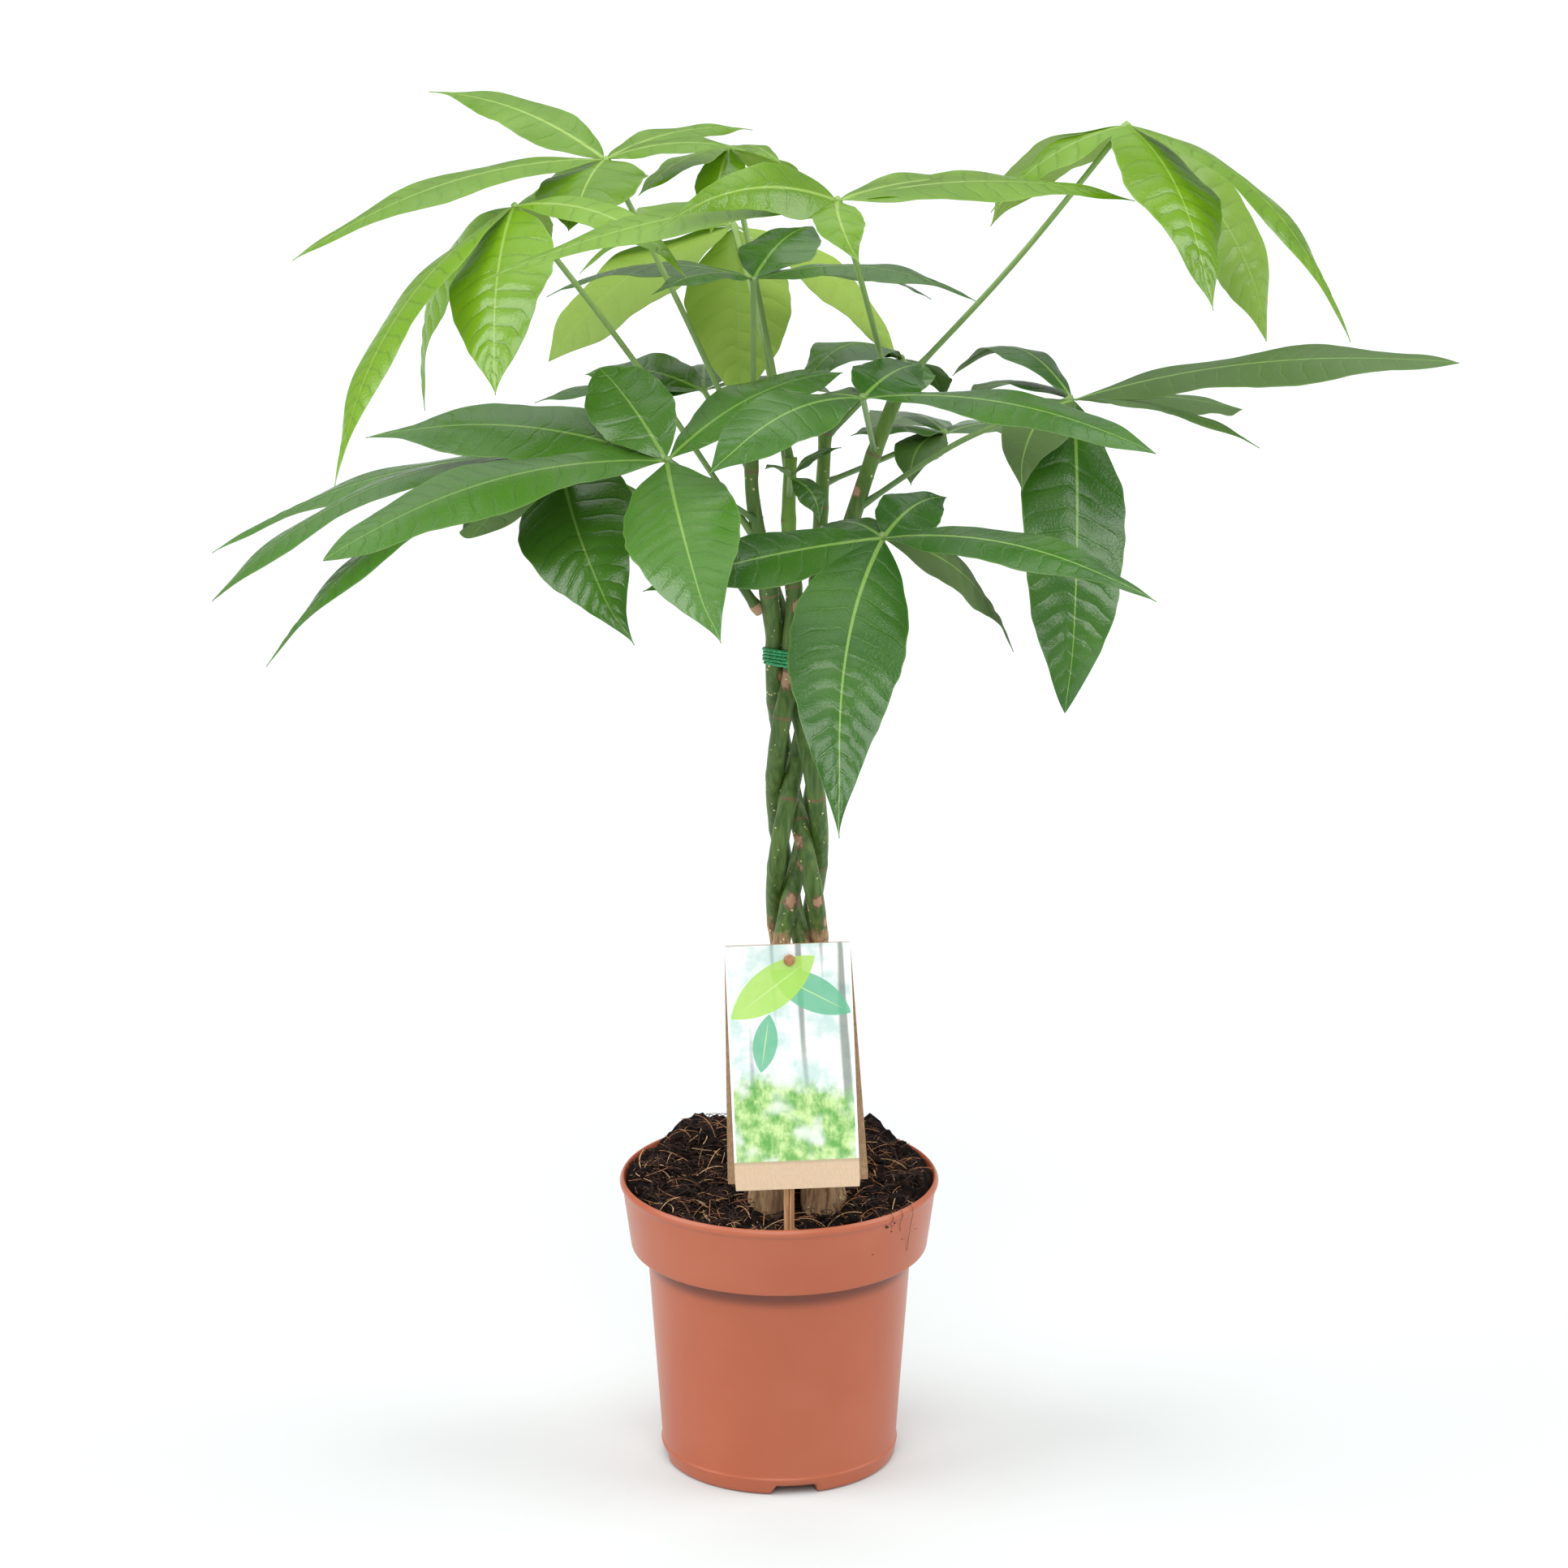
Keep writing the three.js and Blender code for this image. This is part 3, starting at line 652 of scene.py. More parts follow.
@dataclass(frozen=True)
class PlasticFinish:
    """Satin moulded plastic of the pot, mottled and scuffed, with painted shade in the corner under the
    collar.
    """

    corner: float
    name: str = "terracotta_moulding"
    colour: Colour = (0.408, 0.100, 0.0435)
    worn: Colour = (0.446, 0.127, 0.063)
    painted_shade: Colour = (0.140, 0.034, 0.020)
    cloud_scale: float = 14.0
    scratch_scale: float = 90.0
    painted_shade_reach: float = 0.0105

    def build(self) -> Material:
        """Make the material.

        Returns:
            The material.
        """
        shade = Shade(self.name)
        clouds = shade.noise(self.cloud_scale, 4.0, 0.55)
        scratches = shade.noise(self.scratch_scale, 6.0, 0.75, shade.coordinates((1.0, 1.0, 7.0)))
        rubbed = shade.product(shade.step(scratches, 0.60, 0.78), 0.5)
        paler = shade.math("MAXIMUM", shade.step(clouds, 0.35, 0.75, 0.0, 0.6), rubbed)
        # Painted shade: just below the collar the colour darkens towards a dark brown, for the shade that
        # falls in that corner.
        height = shade.node("ShaderNodeSeparateXYZ", {0: shade.coordinates()}).outputs[2]
        below = shade.step(height, self.corner - self.painted_shade_reach, self.corner - 0.0035, 0.0, 0.8)
        painted_corner_shade = shade.product(below, shade.step(height, self.corner, self.corner + 0.0015, 1.0, 0.0))
        colour = shade.mix(painted_corner_shade, shade.mix(paler, self.colour, self.worn), self.painted_shade)
        grain = shade.blend(shade.noise(1500.0, 2.0), 0.5, shade.noise(40.0))
        normal = shade.bump(grain, 0.35, 0.00025)
        return shade.coat(colour, shade.blend(clouds, 0.12, 0.28), normal, Specular_IOR_Level=0.45)


@dataclass(frozen=True)
class CrumbFinish:
    """Dark peat, from nearly black to brown, rough all over."""

    name: str = "peat"
    dark: Colour = (0.0034, 0.0023, 0.0020)
    light: Colour = (0.029, 0.013, 0.008)
    lump_scale: float = 190.0
    grain_scale: float = 700.0

    def build(self) -> Material:
        """Make the material.

        Returns:
            The material.
        """
        shade = Shade(self.name)
        lumps = shade.noise(self.lump_scale, 6.0, 0.7)
        colour = shade.mix(shade.step(lumps, 0.42, 0.72), self.dark, self.light)
        normal = shade.bump(shade.noise(self.grain_scale, 5.0, 0.7), 0.9, 0.0012)
        return shade.coat(colour, 0.88, normal, Specular_IOR_Level=0.15)


@dataclass(frozen=True)
class StrandFinish:
    """Dry strand, such as a coir fibre, a root or a twine, streaked along its length."""

    name: str
    dark: Colour
    light: Colour
    roughness: float
    scale: float = 320.0

    def build(self) -> Material:
        """Make the material.

        Returns:
            The material.
        """
        shade = Shade(self.name)
        streaks = shade.noise(self.scale, 4.0, 0.6)
        colour = shade.mix(shade.step(streaks, 0.34, 0.66), self.dark, self.light)
        return shade.coat(colour, self.roughness, shade.bump(streaks, 0.3, 0.0002))


@dataclass(frozen=True)
class WoodFinish:
    """Plain wood with grain along Z."""

    name: str
    dark: Colour
    light: Colour
    roughness: float
    grain_scale: float = 900.0

    def build(self) -> Material:
        """Make the material.

        Returns:
            The material.
        """
        shade = Shade(self.name)
        grain = shade.noise(self.grain_scale, 5.0, 0.65, shade.coordinates((1.0, 1.0, 0.04)))
        colour = shade.mix(shade.step(grain, 0.35, 0.66), self.dark, self.light)
        return shade.coat(colour, self.roughness, shade.bump(grain, 0.6, 0.0003))


@dataclass(frozen=True)
class KraftFinish:
    """Uncoated brown card with short paper fibres."""

    name: str = "kraft"
    dark: Colour = (0.370, 0.225, 0.120)
    light: Colour = (0.520, 0.345, 0.200)
    fibre_scale: float = 1300.0

    def colour(self, shade: Shade) -> Socket:
        """Fibre pattern of the card, in the material that it is part of."""
        fibres = shade.noise(self.fibre_scale, 3.0, 0.6, shade.coordinates((1.0, 1.0, 0.3)))
        return shade.mix(shade.step(fibres, 0.3, 0.7), self.dark, self.light)

    def build(self) -> Material:
        """Make the material."""
        shade = Shade(self.name)
        return shade.coat(self.colour(shade), 0.8, shade.bump(shade.noise(2200.0), 0.3, 0.00012))


@dataclass(frozen=True)
class Motif:
    """One printed leaf: its middle and half of its length in card widths, its turn in degrees, its colour."""

    x: float
    y: float
    turn: float
    half: float
    colour: Colour
    slimness: float = 0.40
    ink: float = 0.88


@dataclass(frozen=True)
class PrintFinish:
    """Coated card with a misty ground, rolling meadow, three broad leaves and a kraft strip below."""

    name: str = "label_print"
    strip: float = 0.233
    border: float = 0.022
    paper: Colour = (0.900, 0.920, 0.900)
    mist: Colour = (0.580, 0.735, 0.700)
    trunk: Colour = (0.110, 0.140, 0.110)
    meadow: Colour = (0.130, 0.400, 0.075)
    lit: Colour = (0.600, 0.800, 0.340)
    shadow: Colour = (0.30, 0.26, 0.16)
    horizon: float = 0.86
    swell: float = 0.07
    rib: float = 0.008
    soft: float = 0.006
    kraft: KraftFinish = KraftFinish("strip", (0.630, 0.450, 0.295), (0.680, 0.505, 0.345))
    motifs: tuple[Motif, ...] = (
        Motif(0.67, 1.63, 150.0, 0.37, (0.110, 0.470, 0.260)),
        Motif(0.37, 1.68, 36.0, 0.43, (0.410, 0.700, 0.085)),
        Motif(0.29, 1.22, 80.0, 0.25, (0.110, 0.470, 0.260)),
    )

    def lens(self, shade: Shade, motif: Motif, half: float, slim: float) -> Socket:
        """Mask of a leaf shape: what two equal discs share.

        Args:
            shade: Material that it is part of.
            motif: Leaf that sets its middle and its turn.
            half: Half of its length, in card widths.
            slim: Half of its width.

        Returns:
            The mask.
        """
        radius = (half * half + slim * slim) / (2 * slim)
        angle = math.radians(motif.turn)
        distances = []
        for shift in (slim - radius, radius - slim):
            dx = shade.math("SUBTRACT", shade.value("card_x"), motif.x - math.sin(angle) * shift)
            dy = shade.math("SUBTRACT", shade.value("card_y"), motif.y + math.cos(angle) * shift)
            square = shade.math("ADD", shade.product(dx, dx), shade.product(dy, dy))
            distances.append(shade.math("SQRT", square))
        return shade.step(shade.math("MAXIMUM", *distances), radius - self.soft, radius, 1.0, 0.0)

    def scene(self, shade: Shade, x: Socket, y: Socket) -> Socket:
        """Misty ground with thin upright stems over a rolling meadow.

        Args:
            shade: Material that it is part of.
            x: Place across the card, in card widths.
            y: Place up the card, in card widths.

        Returns:
            The colour.
        """
        place, tall, strokes = (
            shade.node("ShaderNodeCombineXYZ", {0: x, 1: height}).outputs[0]
            for height in (y, shade.product(y, 0.03), shade.product(y, 0.4))
        )
        haze = shade.mix(shade.step(shade.noise(4.0, 4.0, 0.6, place), 0.36, 0.60), self.mist, self.paper)
        stems = shade.product(shade.step(shade.noise(9.0, 1.0, 0.4, tall), 0.56, 0.66), 0.72)
        woods = shade.mix(stems, haze, self.trunk)
        roll = shade.blend(shade.math("SINE", shade.product(x, 5.2)), self.swell, self.horizon)
        ragged = shade.blend(shade.noise(16.0, 4.0, 0.6, place), 0.22, y)
        field = shade.step(shade.math("SUBTRACT", ragged, roll), 0.02, 0.20, 1.0, 0.0)
        coarse = shade.noise(9.0, 3.0, 0.5, place)
        blades = shade.blend(shade.noise(38.0, 3.0, 0.6, strokes), 0.45, coarse)
        tufts = shade.mix(shade.step(blades, 0.52, 0.95), self.meadow, self.lit)
        glare = shade.step(shade.noise(3.4, 2.0, 0.5, place), 0.48, 0.68, 0.0, 0.75)
        return shade.mix(field, woods, shade.mix(glare, tufts, self.paper))

    def build(self) -> Material:
        """Make the material.

        Returns:
            The material.
        """
        shade = Shade(self.name)
        x, y, front = shade.value("card_x"), shade.value("card_y"), shade.value("front")
        art = self.scene(shade, x, y)
        for motif in self.motifs:
            blade = self.lens(shade, motif, motif.half, motif.half * motif.slimness)
            rib = self.lens(shade, motif, motif.half * 0.96, self.rib)
            laid = shade.mix(shade.product(blade, motif.ink), art, motif.colour)
            art = shade.mix(shade.product(rib, 0.75), laid, self.lit)
        inset = shade.math("MINIMUM", x, shade.math("SUBTRACT", 1.0, x))
        framed = shade.mix(shade.step(inset, self.border - 0.004, self.border, 1.0, 0.0), art, self.paper)
        bare = self.kraft.colour(shade)
        shaded = shade.mix(shade.step(y, self.strip - 0.035, self.strip, 0.0, 0.45), bare, self.shadow)
        striped = shade.mix(shade.step(y, self.strip, self.strip + self.soft, 1.0, 0.0), framed, shaded)
        colour = shade.mix(front, bare, striped)
        normal = shade.bump(shade.noise(1400.0, 2.0), 0.12, 0.0001)
        return shade.coat(colour, shade.blend(front, -0.38, 0.78), normal)


@dataclass(frozen=True)
class FloorFinish:
    """Plain pale studio floor."""

    name: str = "studio_floor"
    dark: Colour = (0.672, 0.706, 0.706)
    light: Colour = (0.678, 0.712, 0.712)

    def build(self) -> Material:
        """Make the material.

        Returns:
            The material.
        """
        shade = Shade(self.name)
        tone = shade.mix(shade.noise(0.8, 2.0), self.dark, self.light)
        return shade.finish(shade.surface(Base_Color=tone, Roughness=0.9, Specular_IOR_Level=0.1))


# ---------- geometry nodes


class Grower(Wiring):
    """Builds a Geometry Nodes tree, runs it on a mesh or curve and returns the result as a plain mesh."""

    kinds = {float: "NodeSocketFloat", int: "NodeSocketInt"}

    def __init__(self, name: str, values: dict[str, Union[float, int]]) -> None:
        """Start a tree with named inputs.

        Args:
            name: Name of the tree.
            values: Value of each named input.
        """
        super().__init__(bpy.data.node_groups.new(name, "GeometryNodeTree"))
        self.values = values
        face = self.tree.interface
        face.new_socket("Geometry", in_out="INPUT", socket_type="NodeSocketGeometry")
        self.sockets = {
            key: face.new_socket(key, in_out="INPUT", socket_type=self.kinds[type(value)])
            for key, value in values.items()
        }
        face.new_socket("Geometry", in_out="OUTPUT", socket_type="NodeSocketGeometry")
        self.source = self.tree.nodes.new("NodeGroupInput")

    def given(self, name: str) -> Socket:
        """Output of the group input with this name."""
        return self.source.outputs[name]

    def random(self, low: Input, high: Input, seed: int, kind: str = "FLOAT") -> Socket:
        """Random number or vector between two limits, from a fixed seed.

        Args:
            low: Lower limit.
            high: Upper limit.
            seed: The seed.
            kind: Blender's data type.

        Returns:
            The number or vector.
        """
        first = 0 if kind == "FLOAT_VECTOR" else 2
        inputs = {first: low, first + 1: high, "Seed": seed}
        return self.node("FunctionNodeRandomValue", inputs, data_type=kind).outputs[first // 2]

    def vector(self, operation: str, inputs: dict[Union[str, int], Input]) -> Socket:
        """Result of one vector operation on its values."""
        return self.node("ShaderNodeVectorMath", inputs, operation=operation).outputs[0]

    def strewn(self) -> bpy.types.Node:
        """Points strewn over the base, by the inputs named Density and Seed."""
        inputs = {"Mesh": self.given("Geometry"), **{key: self.given(key) for key in ("Density", "Seed")}}
        return self.node("GeometryNodeDistributePointsOnFaces", inputs)

    def placed(self, points: bpy.types.Node, shape: Socket, turn: Socket, size: Socket) -> Socket:
        """Copies of a shape at points, turned and scaled."""
        inputs = {"Points": points.outputs["Points"], "Instance": shape, "Rotation": turn, "Scale": size}
        return self.node("GeometryNodeInstanceOnPoints", inputs).outputs[0]

    def cord(self, curve: Socket, resolution: int, radius: Input) -> Socket:
        """Closed round tube along a curve.

        Args:
            curve: The curve.
            resolution: Sides of the tube.
            radius: Its radius in metres.

        Returns:
            The tube.
        """
        ring = self.node("GeometryNodeCurvePrimitiveCircle", {"Resolution": resolution, "Radius": radius})
        inputs = {"Curve": curve, "Profile Curve": ring.outputs[0], "Fill Caps": True}
        return self.node("GeometryNodeCurveToMesh", inputs).outputs[0]

    def grow(self, base: Piece, shape: Socket, material: Material, name: str) -> Piece:
        """Finish the tree, run it on a base and keep the result.

        Args:
            base: Object whose mesh or curve the tree starts from.
            shape: Geometry to keep.
            material: Its material.
            name: Name of the new piece.

        Returns:
            The new piece as a plain mesh object.
        """
        real = self.node("GeometryNodeRealizeInstances", {0: shape}).outputs[0]
        dressed = self.node("GeometryNodeSetMaterial", {0: real, "Material": material}).outputs[0]
        self.node("NodeGroupOutput", {0: dressed})
        modifier = base.modifiers.new(self.tree.name, "NODES")
        modifier.node_group = self.tree
        for key, socket in self.sockets.items():
            modifier[socket.identifier] = self.values[key]
        mesh = evaluated_mesh(base)
        base.modifiers.remove(modifier)
        mesh.name = name
        mesh.materials.clear()
        mesh.materials.append(material)
        mesh.polygons.foreach_set("material_index", [0] * len(mesh.polygons))
        return stand(name, mesh)


@dataclass(frozen=True)
class Lumps:
    """Small uneven lumps scattered over a surface: number on a square metre, and radii in metres."""

    density: float
    smallest: float
    largest: float
    seed: int
    flat: float
    rounds: int = 1
    slimmest: float = 0.55
    tip: float = 0.35
    dent_scale: float = 0.8
    dent_depth: float = 1.4

    def scatter(self, base: Piece, name: str, material: Material) -> Piece:
        """Scatter the lumps.

        Args:
            base: Surface to scatter on.
            name: Name of the new piece.
            material: Its material.

        Returns:
            The new piece.
        """
        values = {"Density": self.density, "Smallest": self.smallest, "Largest": self.largest}
        grower = Grower(name, {**values, "Seed": self.seed})
        points = grower.strewn()
        ball = grower.node("GeometryNodeMeshIcoSphere", {"Radius": 1.0, "Subdivisions": self.rounds})
        slim, flat, tip = self.slimmest, self.flat, self.tip
        form = grower.random((slim, slim, slim * flat), (1.0, 1.0, flat), 3, "FLOAT_VECTOR")
        size = grower.random(grower.given("Smallest"), grower.given("Largest"), 5)
        scale = grower.vector("SCALE", {0: form, "Scale": size})
        turn = grower.random((-tip, -tip, 0.0), (tip, tip, FULL_TURN), 7, "FLOAT_VECTOR")
        inputs = {"Rotation": points.outputs["Rotation"], "Rotate By": turn}
        tipped = grower.node("FunctionNodeRotateEuler", inputs, space="LOCAL").outputs[0]
        lumps = grower.placed(points, ball.outputs[0], tipped, scale)
        real = grower.node("GeometryNodeRealizeInstances", {0: lumps}).outputs[0]
        place = grower.node("GeometryNodeInputPosition", {}).outputs[0]
        inputs = {"Vector": place, "Scale": self.dent_scale / self.largest, "Detail": 2.0}
        dent = grower.node("ShaderNodeTexNoise", inputs).outputs["Color"]
        centred = grower.vector("SUBTRACT", {0: dent, 1: (0.5, 0.5, 0.5)})
        shift = grower.vector("SCALE", {0: centred, "Scale": self.largest * self.dent_depth})
        uneven = grower.node("GeometryNodeSetPosition", {"Geometry": real, "Offset": shift}).outputs[0]
        return grower.grow(base, uneven, material, name)


@dataclass(frozen=True)
class Strands:
    """Short bent strands scattered over a surface: number on a square metre, and lengths in metres."""

    density: float
    shortest: float
    longest: float
    slimness: float
    seed: int
    tilt: float
    roll: float = 1.2

    def scatter(self, base: Piece, name: str, material: Material) -> Piece:
        """Scatter the strands.

        Args:
            base: Surface to scatter on.
            name: Name of the new piece.
            material: Its material.

        Returns:
            The new piece.
        """
        values = {"Density": self.density, "Shortest": self.shortest, "Longest": self.longest}
        grower = Grower(name, {**values, "Slimness": self.slimness, "Seed": self.seed})
        points = grower.strewn()
        start, middle, end = (-0.5, 0.0, -0.02), (0.0, 0.34, 0.16), (0.5, 0.0, 0.05)
        inputs = {"Resolution": 7, "Start": start, "Middle": middle, "End": end}
        bend = grower.node("GeometryNodeCurveQuadraticBezier", inputs).outputs[0]
        strand = grower.cord(bend, 4, grower.given("Slimness"))
        length = grower.random(grower.given("Shortest"), grower.given("Longest"), 11)
        low, high = (-self.roll, -self.tilt, 0.0), (self.roll, self.tilt, FULL_TURN)
        turn = grower.random(low, high, 13, "FLOAT_VECTOR")
        return grower.grow(base, grower.placed(points, strand, turn, length), material, name)


def sweep_line(points: Array, name: str, material: Material, radius: float) -> Piece:
    """Round cord along points, made by a Geometry Nodes tree.

    Args:
        points: Rows of points in millimetres.
        name: Name of the new piece.
        material: Its material.
        radius: Radius of the cord in millimetres.

    Returns:
        The new piece.
    """
    data = bpy.data.curves.new(name + "_line", "CURVE")
    data.dimensions = "3D"
    spline = data.splines.new("POLY")
    spline.points.add(len(points) - 1)
    for point, place in zip(spline.points, points):
        point.co = (*(place * MM), 1.0)
    base = stand(name + "_line", data)
    grower = Grower(name, {"Radius": radius * MM})
    cord = grower.cord(grower.given("Geometry"), 10, grower.given("Radius"))
    smoothed = grower.node("GeometryNodeSetShadeSmooth", {0: cord}).outputs[0]
    piece = grower.grow(base, smoothed, material, name)
    bpy.data.objects.remove(base)
    return piece


def register(piece: Piece, slot: Slot, *nodes: str) -> None:
    """Tie a finished piece to the frame and report it.

    Args:
        piece: The piece.
        slot: Material slot of the record; not used.
        *nodes: CAD nodes that it stands for.
    """
    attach(piece, BODY)
    if nodes:
        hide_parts(*nodes)
    stands_for = ", ".join(nodes) or "nothing"
    LOG.info("%s: %d faces, stands for %s", piece.name, len(piece.data.polygons), stands_for)


# ---------- pot


@dataclass
class Pot:
    """Moulded plastic nursery pot with a deep collar, a foot band and notches in its foot."""

    height: float = 159.0
    rim_radius: float = 85.0
    collar_radius: float = 79.0
    collar_height: float = 39.0
    ledge_radius: float = 70.5
    foot_radius: float = 62.3
    wall: float = 1.8
    band_height: float = 9.5
    recess: float = 5.5
    floor: float = 2.0
    foot_wall: float = 7.0
    pad_radius: float = 22.0
    notch_width: float = 27.0
    notch_turn: float = 8.0
    notches: int = 4
    drain_radius: float = 5.0
    drain_ring: float = 38.0
    drains: int = 6
    drain_turn: float = 30.0
    lip: float = 1.5
    lip_height: float = 5.4
    rounding: float = 1.1
    sides: int = 256

    @property
    def collar_bottom(self) -> float:
        """Height of the step under the collar."""
        return self.height - self.collar_height

    @property
    def inner_ledge(self) -> float:
        """Height of the same step inside."""
        return self.collar_bottom + 2 * self.wall

    def inside(self, z: float) -> float:
        """Inner radius at a height.

        Args:
            z: Height in millimetres.

        Returns:
            The radius in millimetres.
        """
        ledge = self.inner_ledge
        if z > ledge:
            share = (z - ledge) / (self.height - ledge)
            return self.collar_radius + (self.rim_radius - self.collar_radius) * share - self.wall - 1
        share = z / self.collar_bottom
        return self.foot_radius + (self.ledge_radius - self.foot_radius) * share - self.wall

    def profile(self) -> Array:
        """Section of the pot, from the axis under the floor round the wall to the axis above it.

        Returns:
            Rows of radius and height.
        """
        top, rim, foot, band = self.height, self.rim_radius, self.foot_radius, self.band_height
        collar, bottom, ledge = self.collar_radius, self.collar_bottom, self.inner_ledge
        floor_top = self.recess + self.floor
        under = [
            (0, 0), (self.pad_radius, 0), (self.pad_radius + 1, self.recess),
            (foot - self.foot_wall - 1, self.recess), (foot - self.foot_wall, 0), (foot - 1.8, 0),
        ]
        outside = [
            (foot - 0.1, 1.5), (foot + 1.2, band - 1.0), (foot + 1.35, band - 0.5), (foot + 0.6, band + 0.7),
            (self.ledge_radius, bottom - 1), (collar - 0.6, bottom), (collar, bottom + 0.9),
        ]
        lip = [
            (rim - self.lip, top - self.lip_height), (rim - 0.2, top - 4.0), (rim, top - 2.4),
            (rim - 1.0, top - 0.7), (rim - 1.8, top), (rim - self.wall - 0.8, top - 0.8),
        ]
        inside = [
            (self.inside(ledge + 0.01), ledge), (self.inside(ledge - 3), ledge - 3),
            (self.inside(floor_top + 4), floor_top + 4), (self.inside(floor_top) - 3, floor_top),
            (0, floor_top),
        ]
        return rounded(under + outside + lip + inside, self.rounding)

    def collar_face(self, z: float) -> float:
        """Outer radius of the collar.

        Args:
            z: Height in millimetres.

        Returns:
            The radius in millimetres.
        """
        low, high = self.collar_bottom + 1.4, self.height - self.lip_height
        spread = self.rim_radius - self.lip - self.collar_radius
        return self.collar_radius + spread * ((z - low) / (high - low))

    def notched(self, angles: Array, rows: Array) -> Array:
        """Heights of the profile's rows round the pot, lifted where the foot ring is notched.

        Args:
            angles: Angles round the pot.
            rows: Rows of radius and height.

        Returns:
            One height for each row and angle.
        """
        heights = np.repeat(rows[:, 1:], len(angles), axis=1)
        ring = rows[:, 0] > self.foot_radius - self.foot_wall - 1.5
        low = ring & (rows[:, 1] < self.recess)
        turn = math.radians(self.notch_turn - 90.0)
        part = 2 * math.pi / self.notches
        offset = np.abs((angles - turn + part / 2) % part - part / 2) * self.foot_radius
        half = self.notch_width / 2
        cut = self.recess * (1.0 - smooth(offset, half - 2.6, half - 0.6))
        heights[low] = np.maximum(heights[low], cut[None, :] - (self.recess - heights[low]) * 0.02)
        return heights

    def drained(self, piece: Piece) -> None:
        """Cut the drain holes.

        Args:
            piece: The pot.
        """
        cutters = Shell()
        for i in range(self.drains):
            place = direction(self.drain_turn + i * 360 / self.drains, 0) * self.drain_ring
            path = np.array([place + [0, 0, z] for z in (-3, 4, 12)])
            cutters.add(*swept(path, np.full(3, self.drain_radius), 32))
        tool = cutters.build("drain_cutters", [])
        modifier = piece.modifiers.new("drains", "BOOLEAN")
        modifier.object = tool
        modifier.operation = "DIFFERENCE"
        mesh = evaluated_mesh(piece)
        piece.modifiers.clear()
        piece.data = mesh
        bpy.data.objects.remove(tool)

    def build(self) -> None:
        """Build, dress and register the pot."""
        # The finish paints shade on the body just below this height, in the corner under the collar.
        plastic = PlasticFinish((self.collar_bottom - 2.0) * MM).build()
        piece = piece_of("pot_moulding", *lathed(self.profile(), self.sides, self.notched), plastic)
        self.drained(piece)
        register(piece, Slot.POT, "pot")


# ---------- compost


